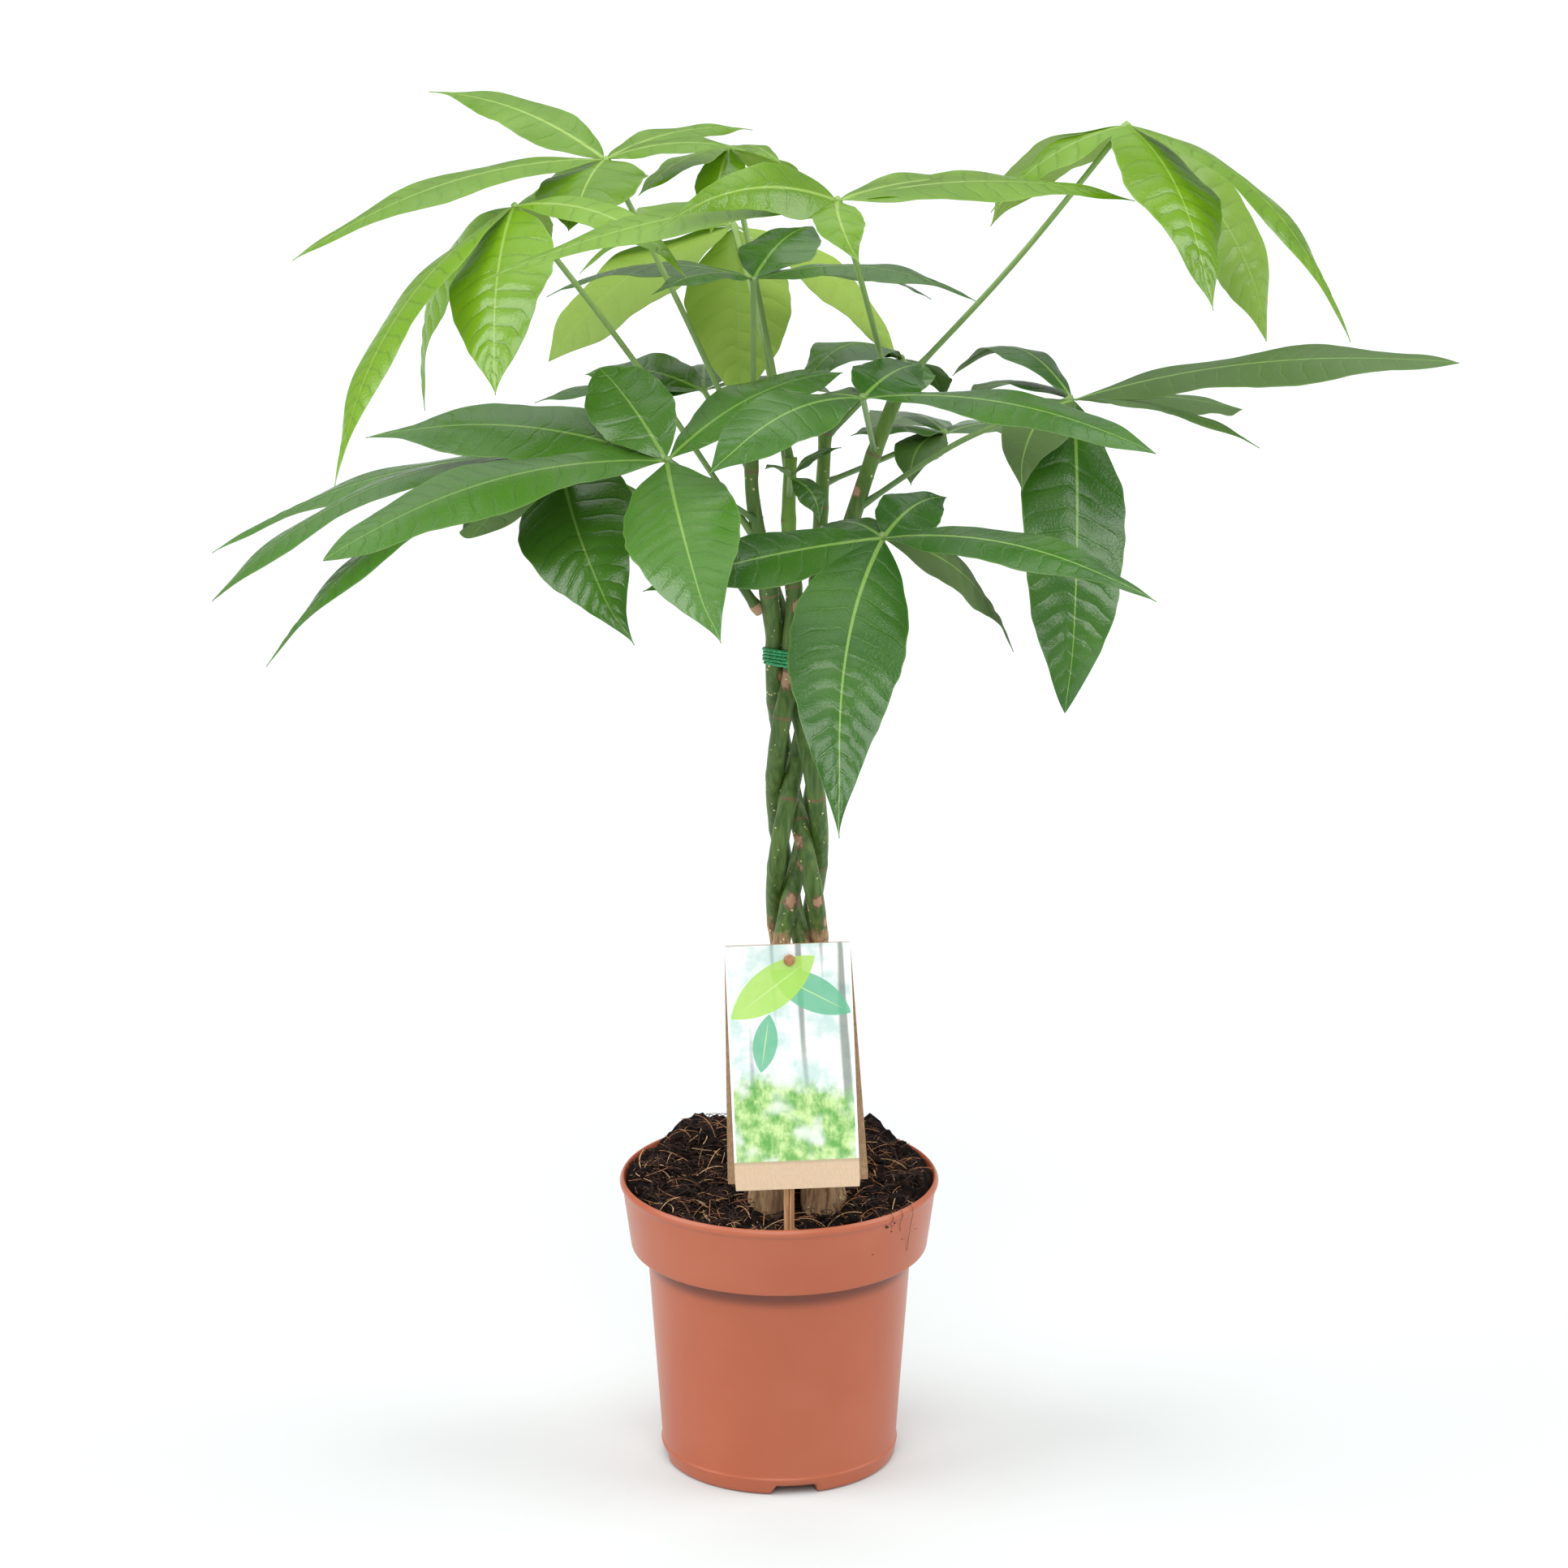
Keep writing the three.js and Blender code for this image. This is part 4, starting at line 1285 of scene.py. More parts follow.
@dataclass
class Compost:
    """Heaped peat compost with crumbs and coir fibres.

    A heap is its place across and in depth, its reach and its height.
    """

    pot: Pot
    level: float = 151.5
    slope: float = 12.0
    edge_drop: float = -1.0
    bump: float = 1.6
    coarse: float = 3.2
    clod: float = 5.0
    fine: float = 1.5
    skirt_rise: float = 5.0
    rings: int = 84
    sides: int = 220
    grid: int = 60
    seed: int = 5
    heaps: tuple[tuple[float, float, float, float], ...] = (
        (-42.0, 50.0, 15.0, 6.5), (-62.0, 30.0, 10.0, 3.0), (48.0, 52.0, 17.0, 5.0),
        (66.0, 30.0, 12.0, 5.0), (58.0, -44.0, 16.0, 9.0), (-20.0, 66.0, 12.0, 3.5),
        (74.0, -4.0, 18.0, 9.0), (-72.0, 6.0, 15.0, 5.5), (-58.0, -40.0, 14.0, 5.0),
    )

    def top(self, x: float, y: float) -> float:
        """Height of the surface with its heaps, clods and small lumps.

        Args:
            x: Place across, in millimetres.
            y: Place in depth, in millimetres.

        Returns:
            The height in millimetres.
        """
        reach = math.hypot(x, y) / self.pot.rim_radius
        wave = self.bump * (math.sin(x / 9 + 1) * math.cos(y / 11) + math.sin((x + y) / 17))
        plain = self.level + self.slope * y / self.pot.rim_radius + wave - self.edge_drop * reach**4
        place = Vector((x * 0.085, y * 0.085, self.seed))
        coarse = noise.fractal(place, 1.0, 2.0, 3)
        clod = 0.5 - noise.voronoi(Vector((x * 0.14, y * 0.14, self.seed)))[0][0]
        fine = noise.fractal(place * 5.0, 0.8, 2.0, 3)
        heap = 0.0
        for heap_x, heap_y, wide, height in self.heaps:
            heap += height * math.exp(-((x - heap_x) ** 2 + (y - heap_y) ** 2) / wide**2)
        return plain + (self.coarse * coarse + self.clod * clod + self.fine * fine + heap)

    def edge(self, angle: float) -> float:
        """Radius where the compost meets the pot's inner wall.

        Args:
            angle: Direction in radians.

        Returns:
            The radius in millimetres.
        """
        reach = self.pot.inside(self.pot.height - 9)
        for _ in range(4):
            height = self.top(reach * math.cos(angle), reach * math.sin(angle))
            reach = self.pot.inside(min(height - 2.0, self.pot.height - 4.0)) - 0.3
        return reach

    def surface(self, material: Material) -> Piece:
        """Top skin of the compost, closed underneath.

        Args:
            material: Its material.

        Returns:
            The piece.
        """
        angles = [2 * math.pi * side / self.sides for side in range(self.sides)]
        reaches = [self.edge(angle) for angle in angles]
        low = self.pot.collar_bottom + self.skirt_rise
        inset = self.pot.inside(low) - 0.4
        points = [(inset * math.cos(angle), inset * math.sin(angle), low) for angle in angles]
        for ring in range(self.rings):
            share = (self.rings - ring) / self.rings
            for angle, reach in zip(angles, reaches):
                x, y = reach * share * math.cos(angle), reach * share * math.sin(angle)
                points.append((x, y, self.top(x, y)))
        points += [(0.0, 0.0, low), (0.0, 0.0, self.top(0, 0))]
        return piece_of("compost_heap", np.array(points), pointed_tube(self.rings + 1, self.sides), material)

    def skin(self, margin: float) -> Piece:
        """Open patch of surface that crumbs and fibres are scattered on.

        Args:
            margin: Distance kept from the pot's wall, in millimetres.

        Returns:
            A helper object.
        """
        points, faces, numbers = [], [], {}
        for i in range(-self.grid, self.grid + 1):
            for j in range(-self.grid, self.grid + 1):
                x, y = self.pot.collar_radius * i / self.grid, self.pot.collar_radius * j / self.grid
                if math.hypot(x, y) <= self.edge(math.atan2(y, x)) - margin:
                    numbers[i, j] = len(points)
                    points.append((x, y, self.top(x, y)))
        for i, j in numbers:
            corners = [(i, j), (i + 1, j), (i + 1, j + 1), (i, j + 1)]
            if all(corner in numbers for corner in corners):
                faces.append(tuple(numbers[corner] for corner in corners))
        return piece_of("scatter_ground", np.array(points), faces)

    def collar_patch(self, turns: tuple[float, float], heights: tuple[float, float]) -> Piece:
        """Patch of the collar's outer face that dirt sticks to.

        Args:
            turns: First and last angle in degrees.
            heights: Lowest and highest place in millimetres.

        Returns:
            A helper object.
        """
        rows, columns = 5, 9
        points = []
        for z in np.linspace(*heights, rows):
            radius = self.pot.collar_face(z)
            points += [direction(turn, 0) * radius + [0, 0, z] for turn in np.linspace(*turns, columns)]
        first = [columns * i + j for i in range(rows - 1) for j in range(columns - 1)]
        faces = [(a, a + 1, a + columns + 1, a + columns) for a in first]
        return piece_of("collar_ground", np.array(points), faces)

    def spilled(self, peat: Material, dull: Material) -> None:
        """Build and register the dirt and the roots that hang over the rim on the right.

        Args:
            peat: Material of the specks.
            dull: Material of the clump.
        """
        specks = Lumps(16000.0, 0.00022, 0.00075, 4, 0.6)
        dirt = Lumps(360000.0, 0.0005, 0.0014, 9, 0.7)
        for name, turns, heights, lumps, material in (
            ("collar_specks", (-54.0, -28.0), (127.0, 152.0), specks, peat),
            ("collar_dirt", (-48.0, -43.0), (150.0, 155.0), dirt, dull),
        ):
            patch = self.collar_patch(turns, heights)
            register(lumps.scatter(patch, name, material), Slot.COMPOST)
            bpy.data.objects.remove(patch)
        root = StrandFinish("rim_root", (0.075, 0.030, 0.016), (0.200, 0.085, 0.045), 0.7).build()
        top, rim = self.pot.height, self.pot.rim_radius
        for number, (turn, drop) in enumerate(((-46.0, 4.0), (-41.0, 8.0), (-35.0, 22.0))):
            places = [
                (rim - 9, top - 7, -3.0), (rim - 3, top + 0.2, -1.0), (rim - 0.4, top + 0.35, 0.0),
                (rim + 0.35, top - 2.5, 0.6), (rim - 0.9, top - 4.0 - drop / 3, 0.2),
                (rim - 1.2 - drop * 0.13, top - 4.5 - drop, 1.4),
            ]
            line = Route([direction(turn + swing, 0) * radius + [0, 0, z] for radius, z, swing in places])
            strand = sweep_line(line.at(np.linspace(0, 1, 24)), f"rim_root_{number}", root, 0.14)
            register(strand, Slot.COMPOST)

    def build(self) -> None:
        """Build, dress and register the compost."""
        peat = CrumbFinish().build()
        register(self.surface(peat), Slot.COMPOST, "soil")
        dull = StrandFinish("peat_fibre", (0.009, 0.004, 0.003), (0.060, 0.023, 0.012), 0.8).build()
        coir = StrandFinish("coir", (0.130, 0.045, 0.017), (0.460, 0.205, 0.085), 0.6).build()
        straw = StrandFinish("straw", (0.360, 0.200, 0.090), (0.720, 0.470, 0.240), 0.55).build()
        wide, inner = self.skin(2.8), self.skin(8.0)
        for name, ground, material, litter in (
            ("compost_crumbs", wide, peat, Lumps(200000.0, 0.0005, 0.0017, 21, 0.8)),
            ("compost_clods", inner, peat, Lumps(30000.0, 0.0018, 0.0052, 6, 0.8, rounds=2)),
            ("peat_fibres", wide, dull, Strands(120000.0, 0.003, 0.0075, 0.030, 14, 0.7)),
            ("peat_tangle", inner, dull, Strands(60000.0, 0.008, 0.022, 0.012, 15, 0.65)),
            ("coir_ends", wide, coir, Strands(22000.0, 0.003, 0.0075, 0.022, 18, 0.6)),
            ("coir_fibres", inner, coir, Strands(20000.0, 0.008, 0.026, 0.010, 8, 0.5)),
            ("straw_fibres", inner, straw, Strands(10000.0, 0.007, 0.024, 0.013, 2, 0.5)),
        ):
            register(litter.scatter(ground, name, material), Slot.COMPOST)
        self.spilled(peat, dull)
        bpy.data.objects.remove(wide)
        bpy.data.objects.remove(inner)


# ---------- trunk


@dataclass(frozen=True)
class CrownPlan:
    """Where one stem goes above the tie."""

    node: str
    route: tuple[Place, ...]
    end_radius: float
    cut: bool = False
    fresh: float = 0.3


@dataclass
class Trunk:
    """Five slender stems braided together, swollen at the foot and bound by a tie.

    A scar is its place across, its height and its reach. The feet stand in a ring in foot_order.
    """

    centre: tuple[float, float] = (9.5, 0.0)
    stem_radius: float = 4.7
    braid_width: float = 11.8
    braid_depth: float = 12.6
    braid_pitch: float = 300.0
    start_phase: float = 18.0
    buttress_ring: float = 24.0
    buttress_turn: float = 18.0
    buttress_extra: float = 7.8
    buttress_height: float = 30.0
    root_depth: float = 100.0
    soil_height: float = 148.0
    braid_start: float = 225.0
    tie_height: float = 446.0
    tie_hold: float = 9.0
    node_spacing: float = 31.0
    node_swell: float = 0.35
    node_reach: float = 3.2
    uneven: float = 0.18
    woody_uneven: float = 1.1
    foot_order: tuple[int, ...] = (1, 0, -1, 2, -2)
    lenticel_seed: int = 30
    sides: int = 24
    steps: int = 320
    crown: tuple[CrownPlan, ...] = (
        CrownPlan("stem_cut", ((-4, -4, 470), (-6, -7, 487)), 4.8, cut=True, fresh=0.0),
        CrownPlan("stem_middle", ((8, -5, 475), (5, 1, 515), (6, 6, 550)), 3.4, fresh=1.0),
        CrownPlan("stem_right_back", ((20, 12, 480), (22, 24, 520), (24, 34, 556)), 3.4, fresh=0.4),
        CrownPlan("stem_right", ((21, -9, 475), (35, -6, 512), (48, 0, 551), (63, 4, 590)), 3.8, fresh=0.55),
        CrownPlan("stem_left", ((-2, 9, 474), (-9, 5, 502), (-14, 2, 535), (-13, 0, 562)), 3.4),
    )
    stub_route: tuple[Place, ...] = ((-9.5, -3, 470), (-13, -4, 475), (-18.5, -5, 483.5), (-25, -6, 493))
    scars: tuple[tuple[float, float, float], ...] = (
        (3.4, 435.5, 4.5), (9.8, 347.5, 3.6), (20.4, 316.5, 3.4), (6.4, 315.5, 4.2), (24.7, 304.0, 3.0),
        (10.7, 334.0, 2.2), (9.0, 474.0, 3.5), (12.7, 312.7, 4.0), (39.6, 535.0, 3.0), (-4.0, 487.0, 1.6),
    )

    def __post_init__(self) -> None:
        """Work out the middle line of every stem."""
        self.routes = {plan.node: Route(self.points(i)) for i, plan in enumerate(self.crown)}

    def braid(self, index: int, z: float) -> Array:
        """Place of one stem in the braid at a height.

        Args:
            index: Number of the stem.
            z: Height in millimetres.

        Returns:
            The point.
        """
        height = min(max(z, self.braid_start), self.tie_height - self.tie_hold)
        turn = 360 * (height - self.braid_start) / self.braid_pitch
        phase = math.radians(self.start_phase + index * 360 / len(self.crown) + turn)
        x = self.braid_width * math.sin(phase) + self.centre[0]
        y = self.braid_depth * math.sin(2 * phase) + self.centre[1]
        return np.array([x, y, z])

    def buttress(self, index: int, z: float) -> Array:
        """Place of the swollen foot of one stem at a height."""
        turn = self.buttress_turn + self.foot_order[index] * 360 / len(self.crown)
        return direction(turn, 0) * self.buttress_ring + [*self.centre, z]

    def points(self, index: int) -> list[Array]:
        """Points that the middle line of one stem passes through.

        Args:
            index: Number of the stem.

        Returns:
            The points, from the root up.
        """
        points = [self.buttress(index, self.root_depth), self.buttress(index, self.soil_height)]
        for z in (165.0, 185.0, 205.0):
            share = smooth(z, self.soil_height, self.braid_start)
            points.append(self.buttress(index, z) * (1 - share) + self.braid(index, z) * share)
        bound = self.tie_height - self.tie_hold
        points += [self.braid(index, z) for z in np.linspace(self.braid_start, bound, 13)]
        points.append(self.braid(index, self.tie_height + self.tie_hold))
        return points + [np.array(place, float) for place in self.crown[index].route]

    def radius(self, index: int, z: Array) -> Array:
        """Radius of one stem at heights.

        Args:
            index: Number of the stem.
            z: Heights in millimetres.

        Returns:
            The radii.
        """
        above = np.maximum(z - self.soil_height, 0) / self.buttress_height
        below = np.maximum(self.soil_height - z, 0) / (self.soil_height - self.root_depth)
        foot = self.buttress_extra * np.exp(-above * above) * (1 - 0.6 * below)
        taper = smooth(z, self.tie_height, self.crown[index].route[-1][2])
        return self.stem_radius + (self.crown[index].end_radius - self.stem_radius) * taper + foot

    def scarred(self, points: Array, front: float) -> Array:
        """How near each point on the front of a stem is to a scar, from 0 to 1.

        Args:
            points: Points of the bark.
            front: Depth behind which a stem bears no scars.

        Returns:
            One value for each point.
        """
        mark = np.zeros(len(points))
        for x, height, reach in self.scars:
            away = np.hypot(points[:, 0] - x, (points[:, 2] - height) * 0.8)
            mark = np.maximum(mark, np.maximum(1 - 0.65 * away / reach, 0) * (points[:, 1] < front))
        return mark

    def girth(self, index: int, z: Array, spacing: float) -> Array:
        """Radii of one stem with the swellings at its nodes and its uneven bark.

        Args:
            index: Number of the stem.
            z: Heights in millimetres.
            spacing: Distance from node to node.

        Returns:
            One radius for each height and side.
        """
        away = np.abs((z + 9.0 * index) % spacing - spacing / 2)
        swell = self.node_swell * np.exp(-((away / self.node_reach) ** 2)) * smooth(z, 190, 240)
        radii = (self.radius(index, z) + swell)[:, None] * np.ones(self.sides)
        for row, height in enumerate(z):
            strength = self.uneven + self.woody_uneven * float(smooth(height, 260, 160))
            for side, angle in enumerate(around(self.sides)):
                place = Vector((math.cos(angle) * 0.9, math.sin(angle) * 0.9, height * 0.045 + 7.0 * index))
                radii[row, side] += noise.noise(place) * strength
        return radii

    def stem(self, index: int, bark: Material, cut: Material) -> Piece:
        """Build one stem with ring scars, nodes and an uneven woody foot.

        Args:
            index: Number of the stem.
            bark: Material of its bark.
            cut: Material of a cut end.

        Returns:
            The piece.
        """
        plan = self.crown[index]
        path = self.routes[plan.node].at(np.linspace(0.0, 1.0, self.steps))
        z = path[:, 2]
        spacing = self.node_spacing + 3.0 * index
        points, faces = swept(path, self.girth(index, z, spacing), self.sides)
        values = {
            "height": points[:, 2] * MM,
            "scar": self.scarred(points, path[:, 1].mean() + 2),
            "ring": np.repeat((z + 9.0 * index) / spacing + 0.5, self.sides),
            "fresh": plan.fresh * np.repeat(smooth(z, z[-1] - 75.0, z[-1] - 25.0), self.sides),
        }
        shell = Shell()
        shell.add(points, faces, **values)
        if plan.cut:
            end, axis = path[-1], unit(path[-1] - path[-2])
            radius = plan.end_radius * 0.93
            disc = np.array([end - axis * 0.6, end + axis * 0.02, end + axis * 0.1])
            shell.add(*swept(disc, np.array([radius, radius, radius * 0.9]), self.sides), 1)
        return shell.build(plan.node + "_bark", [bark, cut])

    def lenticels(self, stems: Sequence[Piece]) -> None:
        """Scatter pale lenticels over the green stems.

        Args:
            stems: The stems' pieces.
        """
        pale = StrandFinish("lenticel", (0.480, 0.500, 0.220), (0.780, 0.740, 0.420), 0.7).build()
        for seed, stem in enumerate(stems, self.lenticel_seed):
            lumps = Lumps(9000.0, 0.00035, 0.00095, seed, 0.55)
            register(lumps.scatter(stem, f"{stem.name}_lenticels", pale), Slot.BARK)

    def stub(self, bark: Material) -> Piece:
        """Short stub of an old stalk beside the left stem, with a scar at its foot.

        Args:
            bark: Material of its bark.

        Returns:
            The piece.
        """
        shares = np.linspace(0, 1, 24)
        swell = 0.9 * np.exp(-(((shares - 0.12) / 0.14) ** 2))
        path = Route(self.stub_route).at(shares)
        points, faces = swept(path, np.linspace(2.7, 2.3, 24) + swell, self.sides)
        mark = np.repeat(smooth(shares, 0.26, 0.14), self.sides)
        blank = {"ring": np.full(len(points), 0.5), "fresh": np.zeros(len(points))}
        shell = Shell()
        shell.add(points, faces, height=points[:, 2] * MM, scar=mark, **blank)
        return shell.build("stalk_stub", [bark])

    def build(self) -> None:
        """Build, dress and register the stems and the stub."""
        bark = BarkFinish().build()
        register(self.stub(bark), Slot.BARK)
        cut = WoodFinish("cut_end", (0.150, 0.075, 0.035), (0.330, 0.190, 0.100), 0.8).build()
        stems = [self.stem(index, bark, cut) for index in range(len(self.crown))]
        self.lenticels(stems)
        for plan, stem in zip(self.crown, stems):
            register(stem, Slot.BARK, plan.node)


@dataclass
class Tie:
    """Green twine wound round the bundle of stems."""

    trunk: Trunk
    turns: float = 4.4
    height: float = 8.0
    radius: float = 0.85
    slant: float = 0.9
    start: float = 200.0
    steps: int = 48

    def outline(self, distance: float, angle: float) -> Array:
        """Point of the bundle's outline in a direction, a set distance outside its stems.

        Args:
            distance: Distance in millimetres.
            angle: Direction in degrees.

        Returns:
            The point.
        """
        side = direction(angle, 0)
        places = [self.trunk.braid(i, self.trunk.tie_height) for i in range(len(self.trunk.crown))]
        outer = max(places, key=lambda place: float(np.dot(place, side)))
        return outer + side * (self.trunk.stem_radius + distance)

    def build(self) -> None:
        """Build, dress and register the twine."""
        total = int(self.turns * self.steps)
        winding = []
        for i in range(total + 1):
            share = i / total
            turn = 360 * self.turns * share
            point = self.outline(0.75 + 0.35 * math.sin(9 * share) ** 2, self.start + turn)
            point[2] += (share - 0.5) * self.height + self.slant * math.sin(math.radians(turn) + 1.0)
            winding.append(point)
        points = Route(winding[::3]).at(np.linspace(0, 1, total))
        twine = StrandFinish("twine", (0.008, 0.130, 0.042), (0.045, 0.470, 0.170), 0.30, 900.0).build()
        register(sweep_line(points, "twine_winding", twine, self.radius), Slot.TWINE, "tie")


# ---------- leaves


@dataclass(frozen=True)
class Leaflet:
    """Direction, size, bend and outline of one leaflet, in degrees, millimetres and shares of its length."""

    heading: float
    rise: float
    length: float
    width: float
    arch: float = 0.1
    roll: float = 0.0
    sway: float = 0.0
    widest: float = 0.43
    fullness: float = 2.3
    olive: float = 0.0


@dataclass(frozen=True)
class Leaf:
    """One palmate leaf: the stem it grows from, its hub, its leaflets and how light its green is, 0 to 1,
    partly as painted light.
    """

    name: str
    stem: str
    foot: float
    hub: Place
    lean: float
    stalk_bow: float
    age: Age
    leaflets: tuple[Leaflet, ...]
    tone: float = 0.5


def plan_leaves() -> tuple[Leaf, ...]:
    """List the plant's leaves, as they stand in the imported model.

    Returns:
        The leaves.
    """
    young, mature, lf = Age.YOUNG, Age.MATURE, Leaflet
    # The number after a leaf's leaflets is its tone, partly painted light: higher for leaves in the shade of
    # others, lower for leaves that catch a strong sheen.
    return (
        Leaf("leaf_upper_left", "stem_left", 502, (-133, -40, 691), 25, 6, young, (
            lf(-93, -36, 125, 58, 0.1, 0, 0.03), lf(-122, -36, 190, 36, 0.1, 8, 0.07),
            lf(148, -63, 125, 36, 0.17, -20), lf(-36, -11, 112, 22, 0.12), lf(72, -42, 60, 22, 0.08)), 0.95),
        Leaf("leaf_top_left", "stem_left", 548, (-88, 0, 707), 10, 4, young, (
            lf(142, 10, 120, 32, 0.07, -10, 0, 0.36), lf(-153, -12, 175, 34, 0.08, -10),
            lf(164, -34, 66, 40, 0.06, -15), lf(-104, -21, 68, 60),
            lf(26, 5, 84, 32, 0.085, 10, 0, 0.36), lf(-13, 6, 74, 22, 0.08, 10)), 0.25),
        Leaf("leaf_top_back", "stem_middle", 546, (-26, 60, 701), 8, 3, young, (
            lf(-98, -28, 70, 26), lf(-135, -14, 66, 30), lf(-58, 0, 50, 16),
            lf(88, -22, 60, 26), lf(40, -36, 70, 30, 0.12))),
        Leaf("leaf_back", "stem_middle", 536, (-24, 120, 648), 12, 10, young, (
            lf(-153, -30, 125, 62, 0.1, -20, 0, 0.52, 2, 0.8), lf(-86, -52, 107, 56, 0.06, olive=1),
            lf(177, -18, 86, 30, 0.16, -20), lf(118, -12, 120, 44, 0.12),
            lf(-10, -39, 112, 38, 0.12, 30, 0, 0.52, olive=1))),
        Leaf("leaf_top_centre", "stem_right", 578, (29, -80, 702), 8, 3, young, (
            lf(-146, -2, 108, 34, 0.125, -34, 0, 0.24), lf(-158, -8, 187, 34, 0.055),
            lf(-79, -23, 55, 26, 0.12, 0, 0.08), lf(21, -4, 160, 42, 0.06), lf(30, -5, 125, 36, 0.08))),
        Leaf("leaf_top_right", "stem_right", 587, (178, 20, 721), 18, -4, young, (
            lf(140, -36, 110, 42), lf(-165, -30, 84, 34),
            lf(-70, -35, 130, 60, 0.12, 0, -0.02, 0.38), lf(15, -56, 140, 50, 0.1, 50, 0, 0.52, olive=0.3),
            lf(-38, -35, 165, 34, 0.15)), 0.65),
        Leaf("leaf_inner", "stem_left", 558, (-13, 0, 645), 0, 0, mature, (
            lf(154, -10, 122, 34), lf(-136, 2, 70, 26), lf(63, 12, 70, 42),
            lf(-20, -1, 120, 36), lf(30, -12, 110, 34))),
        Leaf("leaf_front_left", "stem_left", 516, (-56, -90, 572), 22, 0, mature, (
            lf(156, -2, 170, 52, 0.075), lf(-156, -10, 185, 52, 0.085, 0, 0, 0.55, 1.8),
            lf(131, 37, 64, 44, 0.04, 0, 0, 0.58, 1.6), lf(36, 16, 112, 46, 0.09, 0, 0, 0.5),
            lf(-79, -24, 145, 58, 0.1, 0, 0.035)), 0.95),
        Leaf("leaf_low_left", "stem_left", 486, (-112, -10, 555), 25, 4, mature, (
            lf(176, -17, 190, 40, 0.08), lf(-160, -18, 195, 42, 0.12, 0, 0, 0.55),
            lf(-151, -28, 190, 42), lf(-118, -15, 90, 56, 0.06, 0, 0, 0.6, 1.8, 0.7),
            lf(-72, -30, 140, 62, 0.1, 0, 0.07, 0.36)), 1.0),
        Leaf("leaf_centre", "stem_right", 553, (42, -60, 597), 18, 0, mature, (
            lf(-129, -8, 120, 42, 0.1, 0, 0, 0.5), lf(-30, -3, 165, 38, 0.07, 0, 0, 0.55),
            lf(56, 7, 56, 38, 0.08), lf(138, -16, 50, 30)), 0.35),
        Leaf("leaf_back_right", "stem_right_back", 552, (65, 85, 584), 10, 0, mature, (
            lf(175, 4, 36, 22), lf(-140, -6, 72, 50, 0.24), lf(-76, -20, 35, 28),
            lf(55, -36, 50, 30, 0.12), lf(85, -50, 36, 22))),
        Leaf("leaf_right", "stem_right", 524, (151, 0, 582), 15, 8, mature, (
            lf(-93, -55, 170, 58, 0.12, 0, -0.02, 0.44, 1.6),
            lf(-21, 10, 205, 50, 0.05, 16, 0, 0.5, 1.75, 0.6),
            lf(38, -11, 120, 40, 0.04, 0, 0, 0.55, olive=0.6),
            lf(-41, -3, 120, 24, 0.07, olive=0.5), lf(138, 0, 80, 36, 0.27),
            lf(130, -8, 84, 30), lf(-111, -18, 90, 34, 0.1, 0, 0.06, olive=0.8)), 0.2),
        Leaf("leaf_low_back", "stem_right_back", 530, (88, 80, 545), 15, 0, mature, (
            lf(-147, 6, 60, 32, 0.08), lf(51, -20, 110, 40, 0.12),
            lf(-110, -14, 60, 26, 0.1, 0, 0.08, olive=0.6), lf(110, -15, 110, 40, 0.12))),
        Leaf("leaf_front_right", "stem_right", 508, (52, -100, 535), 25, 0, mature, (
            lf(-99, -42, 175, 58, 0.1, 0, 0.045, 0.39), lf(-163, -8, 126, 40, 0.03),
            lf(-38, -2, 165, 36, 0.075), lf(57, 8, 60, 32), lf(122, -8, 60, 26),
            lf(34, -41, 107, 38, 0.12, olive=0.9)), 0.1),
        Leaf("leaf_back_left", "stem_left", 541, (-40, 80, 568), 15, 0, mature, (
            lf(152, 0, 72, 44, 0.1, -25), lf(168, -7, 92, 36, 0.08, -12), lf(90, -12, 110, 42, 0.12),
            lf(40, -10, 90, 36))),
        Leaf("leaf_shoot", "stem_middle", 528, (6, -14, 545), 10, 0, mature, (
            lf(-35, -50, 28, 18, 0.2), lf(-120, 20, 28, 11, 0.12), lf(0, 30, 30, 11, 0.12))),
    )


